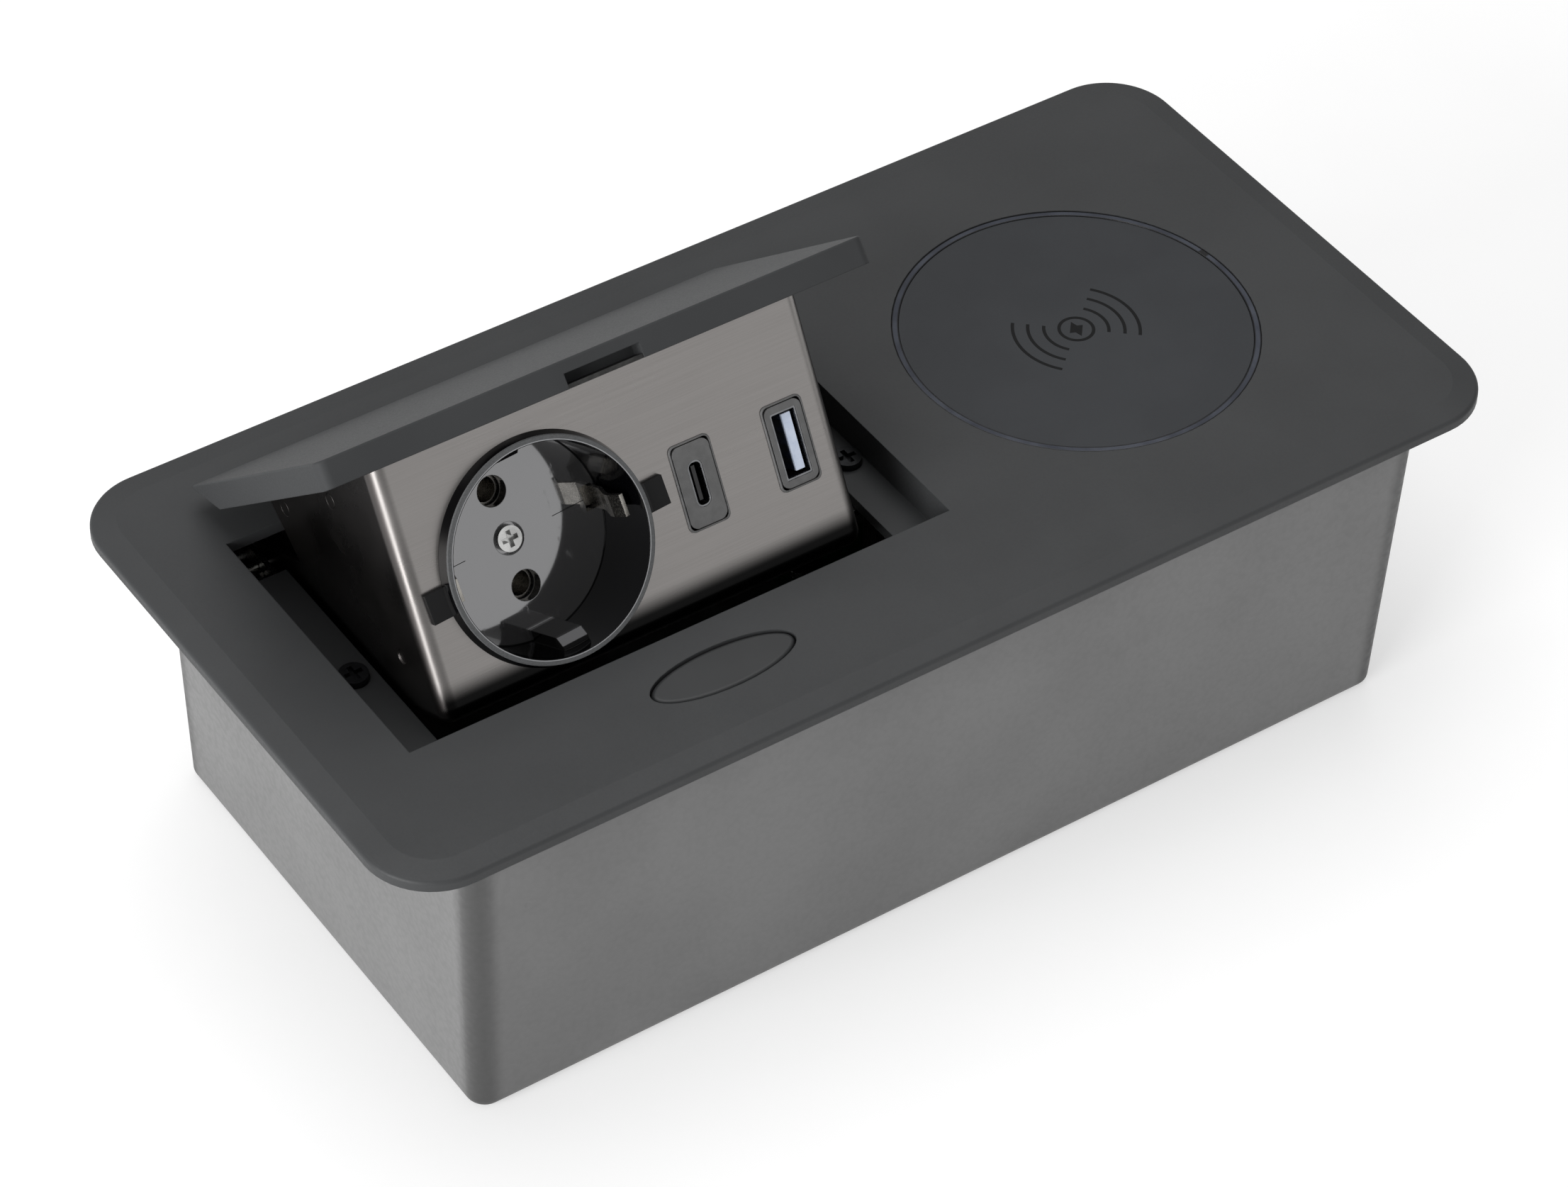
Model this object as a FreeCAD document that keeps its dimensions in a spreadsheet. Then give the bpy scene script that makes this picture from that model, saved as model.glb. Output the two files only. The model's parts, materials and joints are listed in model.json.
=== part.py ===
import FreeCAD, Part
import os
import re
import Sketcher
from FreeCAD import Placement, Rotation, Vector
from math import cos, pi, radians, sin

# In-desk power module: a flanged frame plate over a casing, with a lidded pop-up unit that carries
# an earthed socket and two charging ports, a release button, and a wireless charger in the frame.
# Origin at the middle of the underside, +X along the module, +Y to the hinge side, +Z up, millimetres.

os.makedirs("parts", exist_ok=True)
doc = FreeCAD.newDocument("PowerModule")

sizes = {
    # Frame plate and casing; the places along Y are laid out for a casing of the layout depth
    "frameWidth": 246, "frameDepth": 122, "frameThick": 2.6, "flangeSeat": 0.3, "frameCorner": 14,
    "bandWidth": 5, "bandDrop": 0.7, "rimRound": 0.8, "topHeight": 73,
    "lipWall": 1, "lipDeep": 3, "lipPlay": 0.3,
    "caseWidth": 214, "caseDepth": 111, "layoutDepth": 111, "caseWall": 1.8, "caseDraft": 1.5,
    "caseCorner": 4, "caseFoot": 2,
    "pillarRadius": 4.2, "pillarX": 99.2, "pillarY": 47.2, "hingePillarX": 80, "bossDrop": 6,
    "earRadius": 3.2, "boreRadius": 3.3,
    # Screws
    "screwRadius": 1.5, "screwPlay": 0.2, "screwHead": 2.8, "headHigh": 1.8, "screwBite": 5.6,
    "crossLong": 1.3, "crossWide": 0.36, "crossFloor": 0.45,
    # Well of the pop-up unit
    "openLeft": 103.4, "openRight": 13.7,
    "openFront": 30.14982, "openRear": 34.40001,
    "wellWall": 1.4, "ledgeDrop": 7.4, "ledgeThick": 2.4,
    "ledgeLeft": 93.85, "ledgeRight": 5.65, "ledgeRear": 29.60001,
    "ledgeScrewLeft": 98.2, "ledgeScrewRight": 10.4, "ledgeScrewY": 1.9, "ledgeScrewSink": 0.5,
    # Wireless charger
    "chargerX": 64.7, "chargerY": 0.9, "chargerHole": 35.8,
    "glowWidth": 1.3, "glowPlay": 0.1, "glowDrop": 0.15, "glowFlange": 1.7, "glowLip": 1.7,
    "discDrop": 0.25, "discThick": 2.5, "discPlay": 0.1,
    "trayWall": 1.2, "trayDeep": 13, "trayFloor": 1.6, "trayShelf": 2, "trayPlay": 0.2,
    "trayStep": 4.3, "trayEar": 43, "trayEarRadius": 4.6, "earThick": 3,
    "coilInner": 9, "coilOuter": 23, "coilThick": 1.6, "ferriteRadius": 26, "ferriteThick": 1.8,
    "boardThick": 1.6, "boardPlay": 0.5, "glowBoardThick": 1.2, "postRadius": 2.2, "postRing": 27,
    # Release button and catch
    "buttonX": 44.7, "buttonBack": 0.05036, "buttonLong": 15.45, "buttonWide": 5.5,
    "buttonGap": 0.3, "buttonDrop": 0.15, "buttonTall": 6, "buttonRound": 0.8,
    "buttonLip": 0.7, "buttonLipThick": 1.2, "buttonPlay": 0.3,
    "stemRadius": 2.5, "stemLong": 12, "springRoom": 8, "springWire": 0.6, "springTurns": 4,
    "springPlay": 0.1,
    "guideWall": 1.6, "guideReach": 21.5, "latchWide": 11, "latchThick": 1.1, "latchPlay": 0.3,
    "latchTravel": 2.5, "latchLeg": 10, "latchBack": 0.2,
    # Lid
    "lidGap": 0.5, "lidRearGap": 0.9, "lidThick": 5.3, "lidBevel": 9.6, "lidBevelHigh": 4.8, "lidCorner": 2,
    "lidEdge": 0.4,
    "lidWall": 2, "lidRib": 1.6, "lugLong": 6, "lugThick": 2.6, "lugDeep": 7,
    "lugFront": 22.6995, "lugInset": 5.10044, "lugPlay": 0.1,
    "slotWide": 16, "slotHigh": 2.9, "slotDeep": 3.6, "strikeThick": 0.8, "strikeWide": 30,
    "strikeLong": 12, "strikeBack": 0.3,
    # Hinge and pop-up box, from the pivot and from the leaning front panel
    "pivotY": 46.04946, "pivotDrop": 16.8, "openAngle": 41,
    "panelRecess": 2.9, "panelLean": 11, "panelHigh": 49.5, "sheet": 1,
    "boxLeft": 93, "boxRight": 1.8, "sideBend": 3,
    "rearRoom": 14.05038, "rearFoot": 33.0003, "coverPlay": 0.3, "coverLap": 6,
    "armUp": 4.8, "armRoot": 40.00061, "armRootDown": 29.5, "armRootHalf": 5.4, "armEye": 5.6,
    "pinRadius": 2, "pinFit": 0.05, "bushWall": 1.2, "bushFlange": 4.6, "bushLong": 1.4,
    "earGap": 0.85, "earPlay": 0.05, "bracketThick": 1.5, "bracketFront": 11.99984, "bracketTall": 16,
    "bracketNose": 7, "bracketEnd": 51.99946, "bracketHeel": 33.99946, "flangeEdge": 3.4, "foldRound": 1,
    "pinHead": 3.3, "pinHeadThick": 1.2, "pinTail": 7, "clipRadius": 3.9, "clipThick": 0.6,
    "coilWire": 0.9, "coilRadius": 3.6, "coilTurns": 4, "coilPitch": 1, "coilPlay": 0.5,
    "legLong": 11, "legTurn": 270, "restLegTurn": 145, "pegRadius": 1, "pegRing": 9, "pegPlay": 0.4,
    "pegLong": 4.6, "restPegLong": 7,
    "rivetRadius": 1.5, "rivetDown": 4, "rivetHead": 2.4, "rivetHeadThick": 0.9,
    "dimpleDeep": 0.3, "dimpleV": 37, "dimpleN": 10.7,
    # Earthed socket
    "socketX": 64.6, "socketDown": 25.9, "socketRoll": 3.8, "rimOuter": 20.85, "rimInner": 19.8,
    "rimHigh": 2.4, "skirtOuter": 21.6, "wellDeep": 17.2, "wellFloor": 2.6, "socketPlay": 0.15,
    "insertWall": 1.2, "tabReach": 25.6, "tabHalf": 2.85, "tabThick": 1.1,
    "ribHalf": 2.7, "ribInner": 17.3, "ribEnd": 2.2, "pinSpacing": 19, "pinHole": 2.95,
    "centreHole": 3.1, "centreSink": 1.3, "socketScrew": 2.5, "earthHalf": 2.2, "earthStrip": 0.8,
    "earthReach": 18.8, "earthNip": 1.4, "earthTop": 1.6, "earthPlay": 0.2, "baseRadius": 17,
    "nipFoot": 0.7, "nipLow": 0.4, "nipHigh": 0.3, "ribLead": 0.6,
    "baseBack": 20, "sleeveInner": 2.42, "sleeveWall": 0.6, "sleevePlay": 0.1,
    # Charging ports
    "usbDown": 26.05, "usbCX": 31.9, "usbAX": 11.75, "usbPlateWide": 7.9, "usbPlateHigh": 15.8,
    "usbPlateProud": 0.35, "usbPlateCorner": 1.6, "usbPlateDeep": 4, "usbGap": 0.15,
    "portCHigh": 8.95, "portCWide": 3.25, "portAHigh": 13.1, "portAWide": 5.7, "portWall": 0.35,
    "portDeep": 9, "portSink": 0.2, "tongueCWide": 0.8, "tongueCHigh": 6.7, "tongueAWide": 1.9,
    "tongueAHigh": 11.1, "tongueAShift": 1, "tongueSink": 0.9, "portCRound": 1.4625, "boreRound": 0.7,
    "usbBlockWide": 31, "usbBlockHigh": 20, "usbBlockDeep": 13, "usbBoardWide": 34, "usbBoardHigh": 24,
    # Power supply and cable inlet
    "powerX": 56, "powerLong": 80, "powerWide": 64, "standoff": 6, "standoffRadius": 3,
    "standoffInset": 5, "coreLong": 30, "coreWide": 26, "coreHigh": 24, "windingOut": 4,
    "windingFoot": 4.8, "windingHigh": 14.4, "boardBite": 4.2, "canShift": 9.75,
    "canRadius": 5.5, "canHigh": 25, "canPitch": 13, "blockLong": 27, "blockWide": 11, "blockHigh": 13,
    "wireWell": 2.24,
    "inletX": 84, "inletHeight": 24, "inletHole": 8, "inletBore": 4.2, "inletFlange": 10.5,
    "inletLip": 1.6, "inletInside": 8, "inletOver": 1, "nutThick": 4, "nutRadius": 11,
}
sheet = doc.addObject("Spreadsheet::Sheet", "Sizes")
for row, (alias, size) in enumerate(sizes.items(), start=1):
    sheet.set(f"A{row}", alias)
    sheet.set(f"B{row}", str(size))
    sheet.setAlias(f"B{row}", alias)
doc.recompute()
aliasWord = re.compile(r"\b(" + "|".join(sizes) + r")\b")
alongDepth = {"openFront", "openRear", "ledgeRear", "buttonWide", "pivotY", "pillarY", "bracketFront",
              "bracketEnd", "bracketHeel", "rearFoot", "lugFront", "armRoot"}


def bound(text):
    """The same sum, with each size read from the spreadsheet. Places along the depth of the casing
    keep their share of it."""
    def cell(word):
        alias = word.group(1)
        if alias in alongDepth:
            return f"(Sizes.{alias}*Sizes.caseDepth/Sizes.layoutDepth)"
        return f"Sizes.{alias}"
    return aliasWord.sub(cell, str(text))


def amount(text):
    """The value of a sum of sizes."""
    result = sheet.evalExpression(bound(text))
    return float(getattr(result, "Value", result))


def spot(x, y, z):
    return Vector(amount(x), amount(y), amount(z))


def tie(item, field, text):
    """Bind a property to a sum of sizes."""
    item.setExpression(field, bound(text))


# Places that several pieces share, as sums of sizes

plateUnder = "(topHeight - frameThick)"
ledgeUnder = "(topHeight - ledgeDrop - ledgeThick)"
lidUnder = "(topHeight - lidThick)"
pivotZ = "(topHeight - pivotDrop)"
bossUnder = "(topHeight - frameThick - bossDrop)"
panelY = "(lidGap + panelRecess - openFront)"
rearTop = "(openFront + openRear - rearRoom)"
buttonY = ("(openFront + wellWall + latchPlay*2 + latchThick + latchTravel"
           " + buttonWide + buttonLip + buttonBack)")
lugPlaces = {"front": "lugFront", "rear": f"({rearTop} - lugInset)"}
pivotV = f"(({panelY} - pivotY)*sin(panelLean*1deg) - (pivotDrop - lidThick)*cos(panelLean*1deg))"
pivotN = f"(({panelY} - pivotY)*cos(panelLean*1deg) + (pivotDrop - lidThick)*sin(panelLean*1deg))"
baseDeep = "(rearFoot - baseBack)"
boxMiddle = "(-(boxLeft + boxRight)/2)"
earLeft = "(-boxLeft - earGap - bracketThick)"
earRight = "(-boxRight + earGap)"
boxHalf = "((boxLeft - boxRight)/2)"
earOuter = f"({boxHalf} + earGap + bracketThick)"
pinSeat = f"({boxHalf} - bushLong - earPlay)"
pegTurn = "acos((coilRadius - coilWire/2 - pegRadius - earPlay)/pegRing)"
pegAngle = f"(legTurn*1deg - {pegTurn})"
restPegAngle = f"(restLegTurn*1deg + {pegTurn})"
cableY = f"(caseDepth/2 - ({plateUnder} - inletHeight)*tan(caseDraft*1deg))"
pillars = [("pillarX", "-pillarY"), ("-pillarX", "-pillarY"), ("pillarX", "pillarY"),
           ("-hingePillarX", "pillarY")]
ledgeScrews = [("-ledgeScrewLeft", "-ledgeScrewY"), ("ledgeScrewRight", "-ledgeScrewY")]
trayEars = [(f"chargerX + trayEar*cos({turn}deg)", f"trayEar*sin({turn}deg) - chargerY")
            for turn in (60, 180, 300)]
guideScrews = [(f"-buttonX {side} guideReach", f"-{buttonY}") for side in "-+"]
boardCorners = [(f"powerX {a} (powerLong/2 - standoffInset)", f"0 {b} (powerWide/2 - standoffInset)")
                for a in "-+" for b in "-+"]

alongX, alongY, alongZ = Vector(1, 0, 0), Vector(0, 1, 0), Vector(0, 0, 1)
upward = Rotation()
downward = Rotation(alongX, 180)
toRight = Rotation(alongY, 90)
toLeft = Rotation(alongY, -90)
hinge = spot("0", "pivotY", pivotZ)
opened = Placement(Vector(), Rotation(alongX, -amount("openAngle")), hinge)
panelTurn = Rotation(alongX, 90 + amount("panelLean"))
panelPlace = opened.multiply(Placement(spot("0", panelY, lidUnder), panelTurn))
socketTurn = Rotation(alongZ, amount("socketRoll"))
socketPlace = panelPlace.multiply(Placement(spot("-socketX", "-socketDown", "0"), socketTurn))
chargerPlace = Placement(spot("chargerX", "-chargerY", "topHeight"), upward)
buttonPlace = Placement(spot("-buttonX", f"-{buttonY}", "topHeight"), upward)


# Sketches: every corner, centre and radius is tied to the spreadsheet

def newBody(label, place=Placement()):
    body = doc.addObject("PartDesign::Body", label)
    body.Label = label
    body.Placement = place
    return body


def newSketch(body, name, role="XY_Plane", lift="0"):
    """XZ_Plane looks along +Y (its normal is -Y); YZ_Plane has x along Y and its normal is +X."""
    sketch = body.newObject("Sketcher::SketchObject", name)
    plane = next(item for item in body.Origin.OriginFeatures if item.Role == role)
    sketch.AttachmentSupport = (plane, [""])
    sketch.MapMode = "FlatFace"
    if lift != "0":
        tie(sketch, "AttachmentOffset.Base.z", lift)
    return sketch


def pinDown(sketch, geometry, vertex, across, up):
    """Hold a sketch point at a place measured from the sketch's origin."""
    for kind, axis, text in (("DistanceX", -2, across), ("DistanceY", -1, up)):
        value = amount(text)
        if abs(value) < 1e-9:
            sketch.addConstraint(Sketcher.Constraint("PointOnObject", geometry, vertex, axis))
            continue
        index = sketch.addConstraint(Sketcher.Constraint(kind, -1, 1, geometry, vertex, value))
        sketch.setExpression(f"Constraints[{index}]", bound(text))


def holdSize(sketch, kind, geometry, text):
    index = sketch.addConstraint(Sketcher.Constraint(kind, geometry, amount(text)))
    sketch.setExpression(f"Constraints[{index}]", bound(text))


def polygon(sketch, corners):
    points = [Vector(amount(across), amount(up), 0) for across, up in corners]
    first = sketch.GeometryCount
    count = len(points)
    for i, point in enumerate(points):
        sketch.addGeometry(Part.LineSegment(point, points[(i + 1) % count]))
    for i in range(count):
        meeting = Sketcher.Constraint("Coincident", first + i, 2, first + (i + 1) % count, 1)
        sketch.addConstraint(meeting)
    for i, (across, up) in enumerate(corners):
        pinDown(sketch, first + i, 1, across, up)


def rectangle(sketch, left, right, low, high):
    polygon(sketch, [(left, low), (right, low), (right, high), (left, high)])


def roundedRectangle(sketch, across, up, wide, tall, radius):
    """Four arcs joined by tangent lines, about a middle."""
    cx, cy, reach = amount(across), amount(up), amount(radius)
    dx, dy = amount(f"({wide})/2 - ({radius})"), amount(f"({tall})/2 - ({radius})")
    first = sketch.GeometryCount
    quarters = [(1, 1, 0), (-1, 1, 90), (-1, -1, 180), (1, -1, 270)]
    for a, b, turn in quarters:
        ring = Part.Circle(Vector(cx + a * dx, cy + b * dy, 0), alongZ, reach)
        sketch.addGeometry(Part.ArcOfCircle(ring, radians(turn), radians(turn + 90)))
    for k, (a, b, turn) in enumerate(quarters):
        c, d, after = quarters[(k + 1) % 4]
        out = Vector(reach * cos(radians(turn + 90)), reach * sin(radians(turn + 90)), 0)
        sketch.addGeometry(Part.LineSegment(Vector(cx + a * dx, cy + b * dy, 0) + out,
                                            Vector(cx + c * dx, cy + d * dy, 0) + out))
    for k, (a, b, turn) in enumerate(quarters):
        sketch.addConstraint(Sketcher.Constraint("Tangent", first + k, 2, first + 4 + k, 1))
        sketch.addConstraint(Sketcher.Constraint("Tangent", first + 4 + k, 2, first + (k + 1) % 4, 1))
    for k, (a, b, turn) in enumerate(quarters):
        pinDown(sketch, first + k, 3, f"{across} + {a}*(({wide})/2 - ({radius}))",
                f"{up} + {b}*(({tall})/2 - ({radius}))")
        holdSize(sketch, "Radius", first + k, radius)


def circle(sketch, across, up, radius):
    middle = Vector(amount(across), amount(up), 0)
    index = sketch.addGeometry(Part.Circle(middle, alongZ, amount(radius)))
    pinDown(sketch, index, 3, across, up)
    holdSize(sketch, "Radius", index, radius)


def ellipse(sketch, half, halfUp):
    """An ellipse about the sketch's origin, its long axis along x."""
    shape = Part.Ellipse(Vector(amount(half), 0, 0), Vector(0, amount(halfUp), 0), Vector())
    index = sketch.addGeometry(shape)
    sketch.exposeInternalGeometry(index)
    sketch.addConstraint(Sketcher.Constraint("Coincident", index, 3, -1, 1))
    sketch.addConstraint(Sketcher.Constraint("Horizontal", index + 1))
    holdSize(sketch, "Distance", index + 1, f"2*({half})")
    holdSize(sketch, "Distance", index + 2, f"2*({halfUp})")


# Features

def grow(body, kind, name, sketch, length, reverse, taper):
    """A pad or pocket of a sketch; it must change the solid."""
    before = body.Shape.Volume if body.Tip else 0
    feature = body.newObject(f"PartDesign::{kind}", name)
    feature.Profile = sketch
    feature.Reversed = reverse
    tie(feature, "Length", length)
    if taper:
        tie(feature, "TaperAngle", taper)
    doc.recompute()
    after = body.Shape.Volume
    if abs(after - before) < 1e-6 or (kind == "Pocket") != (after < before):
        raise RuntimeError(f"{body.Label}: {name} took {before:.1f} to {after:.1f}")
    return feature


def pad(body, name, sketch, length, reverse=False, taper=None):
    return grow(body, "Pad", name, sketch, length, reverse, taper)


def pocket(body, name, sketch, length, reverse=False, taper=None):
    return grow(body, "Pocket", name, sketch, length, reverse, taper)


def picked(shape, test):
    names = [f"Edge{i}" for i, edge in enumerate(shape.Edges, start=1) if test(edge)]
    if not names:
        raise RuntimeError("no edge answers the test")
    return names


def isAlong(edge, direction):
    if edge.Degenerated or edge.Curve.TypeId != "Part::GeomLine":
        return False
    return abs(abs(edge.Curve.Direction.dot(direction)) - 1) < 1e-3


def isLevel(edge, height):
    return abs(edge.BoundBox.ZMin - height) < 1e-4 and abs(edge.BoundBox.ZMax - height) < 1e-4


def roundEdges(body, name, test, radius):
    base = body.Tip
    names = picked(base.Shape, test)
    feature = body.newObject("PartDesign::Fillet", name)
    feature.Base = (base, names)
    tie(feature, "Radius", radius)
    doc.recompute()
    if "Invalid" in feature.State:
        raise RuntimeError(f"{body.Label}: {name} failed")
    return feature


def turned(body, name, sketch):
    """A revolution about the body's own Z axis."""
    axis = next(item for item in body.Origin.OriginFeatures if item.Role == "Z_Axis")
    feature = body.newObject("PartDesign::Revolution", name)
    feature.Profile = sketch
    feature.ReferenceAxis = (axis, [""])
    feature.Angle = 360
    doc.recompute()
    return feature


def turnedBody(label, corners, place):
    """A turned piece from its half section, given as (radius, height) corners."""
    body = newBody(label, place)
    section = newSketch(body, f"{label}_section", "XZ_Plane")
    polygon(section, corners)
    turned(body, f"{label}_turned", section)
    return body


def cylinder(name, radius, height, start="0"):
    item = doc.addObject("Part::Cylinder", name)
    tie(item, "Radius", radius)
    tie(item, "Height", height)
    if start != "0":
        tie(item, "Placement.Base.z", start)
    return item


def block(name, low, long, wide, high):
    item = doc.addObject("Part::Box", name)
    tie(item, "Length", long)
    tie(item, "Width", wide)
    tie(item, "Height", high)
    for axis, text in zip("xyz", low):
        tie(item, f"Placement.Base.{axis}", text)
    return item


def fuse(name, items):
    item = doc.addObject("Part::MultiFuse", name)
    item.Shapes = items
    return item


def cut(name, base, tool):
    item = doc.addObject("Part::Cut", name)
    item.Base = base
    item.Tool = tool
    return item


def group(label, items):
    """Like pieces kept as one node of separate solids."""
    item = doc.addObject("Part::Compound", label)
    item.Label = label
    item.Links = items
    return item


def screws(label, places, long, headRadius="screwHead", headTall="headHigh", shankRadius="screwRadius"):
    """Pan-head screws with a cross recess. A place is the seat under the head; +Z points out."""
    made = []
    for i, place in enumerate(places, start=1):
        head = cylinder(f"{label}_head{i}", headRadius, headTall)
        shank = cylinder(f"{label}_shank{i}", shankRadius, long, f"-({long})")
        blank = fuse(f"{label}_blank{i}", [head, shank])
        bars = []
        for k, (reach, width) in enumerate((("crossLong", "crossWide"), ("crossWide", "crossLong")), start=1):
            low = (f"-({headRadius})*{reach}/2", f"-({headRadius})*{width}/2", f"({headTall})*crossFloor")
            bar = block(f"{label}_bar{i}_{k}", low, f"({headRadius})*{reach}", f"({headRadius})*{width}",
                        headTall)
            bars.append(bar)
        whole = cut(f"{label}_{i}", blank, fuse(f"{label}_cross{i}", bars))
        whole.Placement = place
        made.append(whole)
    return group(label, made)


# Frame plate, with the well, ledges and screw bosses beneath it

def framePlate():
    body = newBody("frame_plate")
    flangeUnder = f"{plateUnder} - flangeSeat"
    outline = newSketch(body, "FrameOutline", lift=flangeUnder)
    rectangle(outline, "-frameWidth/2", "frameWidth/2", "-frameDepth/2", "frameDepth/2")
    pad(body, "FramePad", outline, "frameThick + flangeSeat")
    roundEdges(body, "FrameCorners", lambda edge: isAlong(edge, alongZ), "frameCorner")
    corners = body.Tip
    band = body.newObject("PartDesign::Chamfer", "FrameBand")
    band.Base = (corners, picked(corners.Shape, lambda edge: isLevel(edge, amount("topHeight"))))
    band.ChamferType = "Two distances"
    tie(band, "Size", "bandDrop")
    tie(band, "Size2", "bandWidth")
    doc.recompute()
    rim = amount("topHeight - bandDrop")
    roundEdges(body, "RimRound", lambda edge: isLevel(edge, rim), "rimRound")

    seat = newSketch(body, "CaseSeat", lift=flangeUnder)
    roundedRectangle(seat, "0", "0", "caseWidth + lipPlay*2", "caseDepth + lipPlay*2", "caseCorner + lipPlay")
    pocket(body, "CaseSeatPocket", seat, "flangeSeat", reverse=True)
    walls = newSketch(body, "WellBlock", lift=plateUnder)
    rectangle(walls, "-openLeft - wellWall", "openRight + wellWall", "-openFront - wellWall", "ledgeRear")
    pad(body, "WellPad", walls, "ledgeDrop + ledgeThick - frameThick", reverse=True)
    lip = newSketch(body, "LipSketch", lift=plateUnder)
    for inset, radius in (("caseWall + lipPlay", "caseCorner"),
                          ("caseWall + lipPlay + lipWall", "caseCorner - lipWall")):
        roundedRectangle(lip, "0", "0", f"caseWidth - 2*({inset})", f"caseDepth - 2*({inset})", radius)
    pad(body, "LipPad", lip, "lipDeep", reverse=True)
    bosses = newSketch(body, "BossSketch", lift=plateUnder)
    for x, y in pillars:
        circle(bosses, x, y, "pillarRadius")
    for x, y in trayEars + guideScrews:
        circle(bosses, x, y, "earRadius")
    pad(body, "BossPad", bosses, "bossDrop", reverse=True)

    well = newSketch(body, "WellSketch", lift="topHeight")
    rectangle(well, "-openLeft", "openRight", "-openFront", "openRear")
    pocket(body, "WellPocket", well, "ledgeDrop")
    gate = newSketch(body, "GateSketch", lift="topHeight")
    rectangle(gate, "-ledgeLeft", "ledgeRight", "-openFront", "openRear")
    pocket(body, "GatePocket", gate, "ledgeDrop + ledgeThick")
    sinks = newSketch(body, "LedgeSinks", lift="topHeight - ledgeDrop")
    holes = newSketch(body, "LedgeHoles", lift="topHeight - ledgeDrop")
    for x, y in ledgeScrews:
        circle(sinks, x, y, "screwHead + screwPlay")
        circle(holes, x, y, "screwRadius + screwPlay")
    pocket(body, "LedgeSinkPocket", sinks, "ledgeScrewSink")
    pocket(body, "LedgeBores", holes, "ledgeThick")
    glow = newSketch(body, "ChargerSketch", lift="topHeight")
    circle(glow, "chargerX", "-chargerY", "chargerHole")
    pocket(body, "ChargerPocket", glow, "frameThick")
    oval = newSketch(body, "ButtonSketch", lift="topHeight")
    oval.AttachmentOffset = Placement(spot("-buttonX", f"-{buttonY}", "topHeight"), upward)
    tie(oval, "AttachmentOffset.Base.x", "-buttonX")
    tie(oval, "AttachmentOffset.Base.y", f"-{buttonY}")
    tie(oval, "AttachmentOffset.Base.z", "topHeight")
    ellipse(oval, "buttonLong", "buttonWide")
    pocket(body, "ButtonPocket", oval, "frameThick")
    pilots = newSketch(body, "PilotSketch", lift=bossUnder)
    for x, y in pillars + trayEars + guideScrews:
        circle(pilots, x, y, "screwRadius + screwPlay/4")
    pocket(body, "PilotBores", pilots, "bossDrop", reverse=True)
    window = newSketch(body, "LatchWindow", "XZ_Plane", lift="openFront")
    rectangle(window, "-buttonX - latchWide/2 - latchPlay", "-buttonX + latchWide/2 + latchPlay",
              f"{plateUnder} - latchThick - 2*latchPlay", plateUnder)
    pocket(body, "LatchGate", window, "wellWall", reverse=True)


def housing():
    body = newBody("housing")
    mouth = newSketch(body, "CaseMouth", lift=plateUnder)
    rectangle(mouth, "-caseWidth/2", "caseWidth/2", "-caseDepth/2", "caseDepth/2")
    pad(body, "CaseBlock", mouth, plateUnder, reverse=True, taper="-caseDraft")
    tall = amount(plateUnder) / 2
    roundEdges(body, "CaseCorners", lambda edge: edge.BoundBox.ZLength > tall, "caseCorner")
    roundEdges(body, "CaseFoot", lambda edge: isLevel(edge, 0), "caseFoot")
    hollow = newSketch(body, "CaseHollow", lift=plateUnder)
    rectangle(hollow, "caseWall - caseWidth/2", "caseWidth/2 - caseWall",
              "caseWall - caseDepth/2", "caseDepth/2 - caseWall")
    pocket(body, "CaseInside", hollow, f"{plateUnder} - caseWall", taper="-caseDraft")
    roundEdges(body, "InsideCorners", lambda edge: edge.BoundBox.ZLength > tall
               and abs(edge.BoundBox.ZMin - amount("caseWall")) < 1e-3, "caseCorner - caseWall")
    columns = newSketch(body, "PillarSketch", lift="caseWall/2")
    for x, y in pillars:
        circle(columns, x, y, "pillarRadius")
    pad(body, "PillarPad", columns, f"{bossUnder} - caseWall/2")
    posts = newSketch(body, "StandoffSketch", lift="caseWall/2")
    for x, y in boardCorners:
        circle(posts, x, y, "standoffRadius")
    pad(body, "StandoffPad", posts, "standoff + caseWall/2")
    sinks = newSketch(body, "BoreSketch")
    holes = newSketch(body, "ScrewSketch")
    for x, y in pillars:
        circle(sinks, x, y, "boreRadius")
        circle(holes, x, y, "screwRadius + screwPlay")
    pocket(body, "PillarBores", sinks, f"{bossUnder} - screwBite", reverse=True)
    pocket(body, "PillarHoles", holes, bossUnder, reverse=True)
    pilots = newSketch(body, "StandoffHoles", lift="standoff + caseWall")
    for x, y in boardCorners:
        circle(pilots, x, y, "screwRadius + screwPlay/4")
    pocket(body, "StandoffBores", pilots, "standoff")
    inlet = newSketch(body, "InletSketch", "XZ_Plane", lift="-caseDepth/2 - inletOver")
    circle(inlet, "inletX", "inletHeight", "inletHole")
    pocket(body, "InletPocket", inlet, "caseWall*4 + inletOver", reverse=True)


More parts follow.
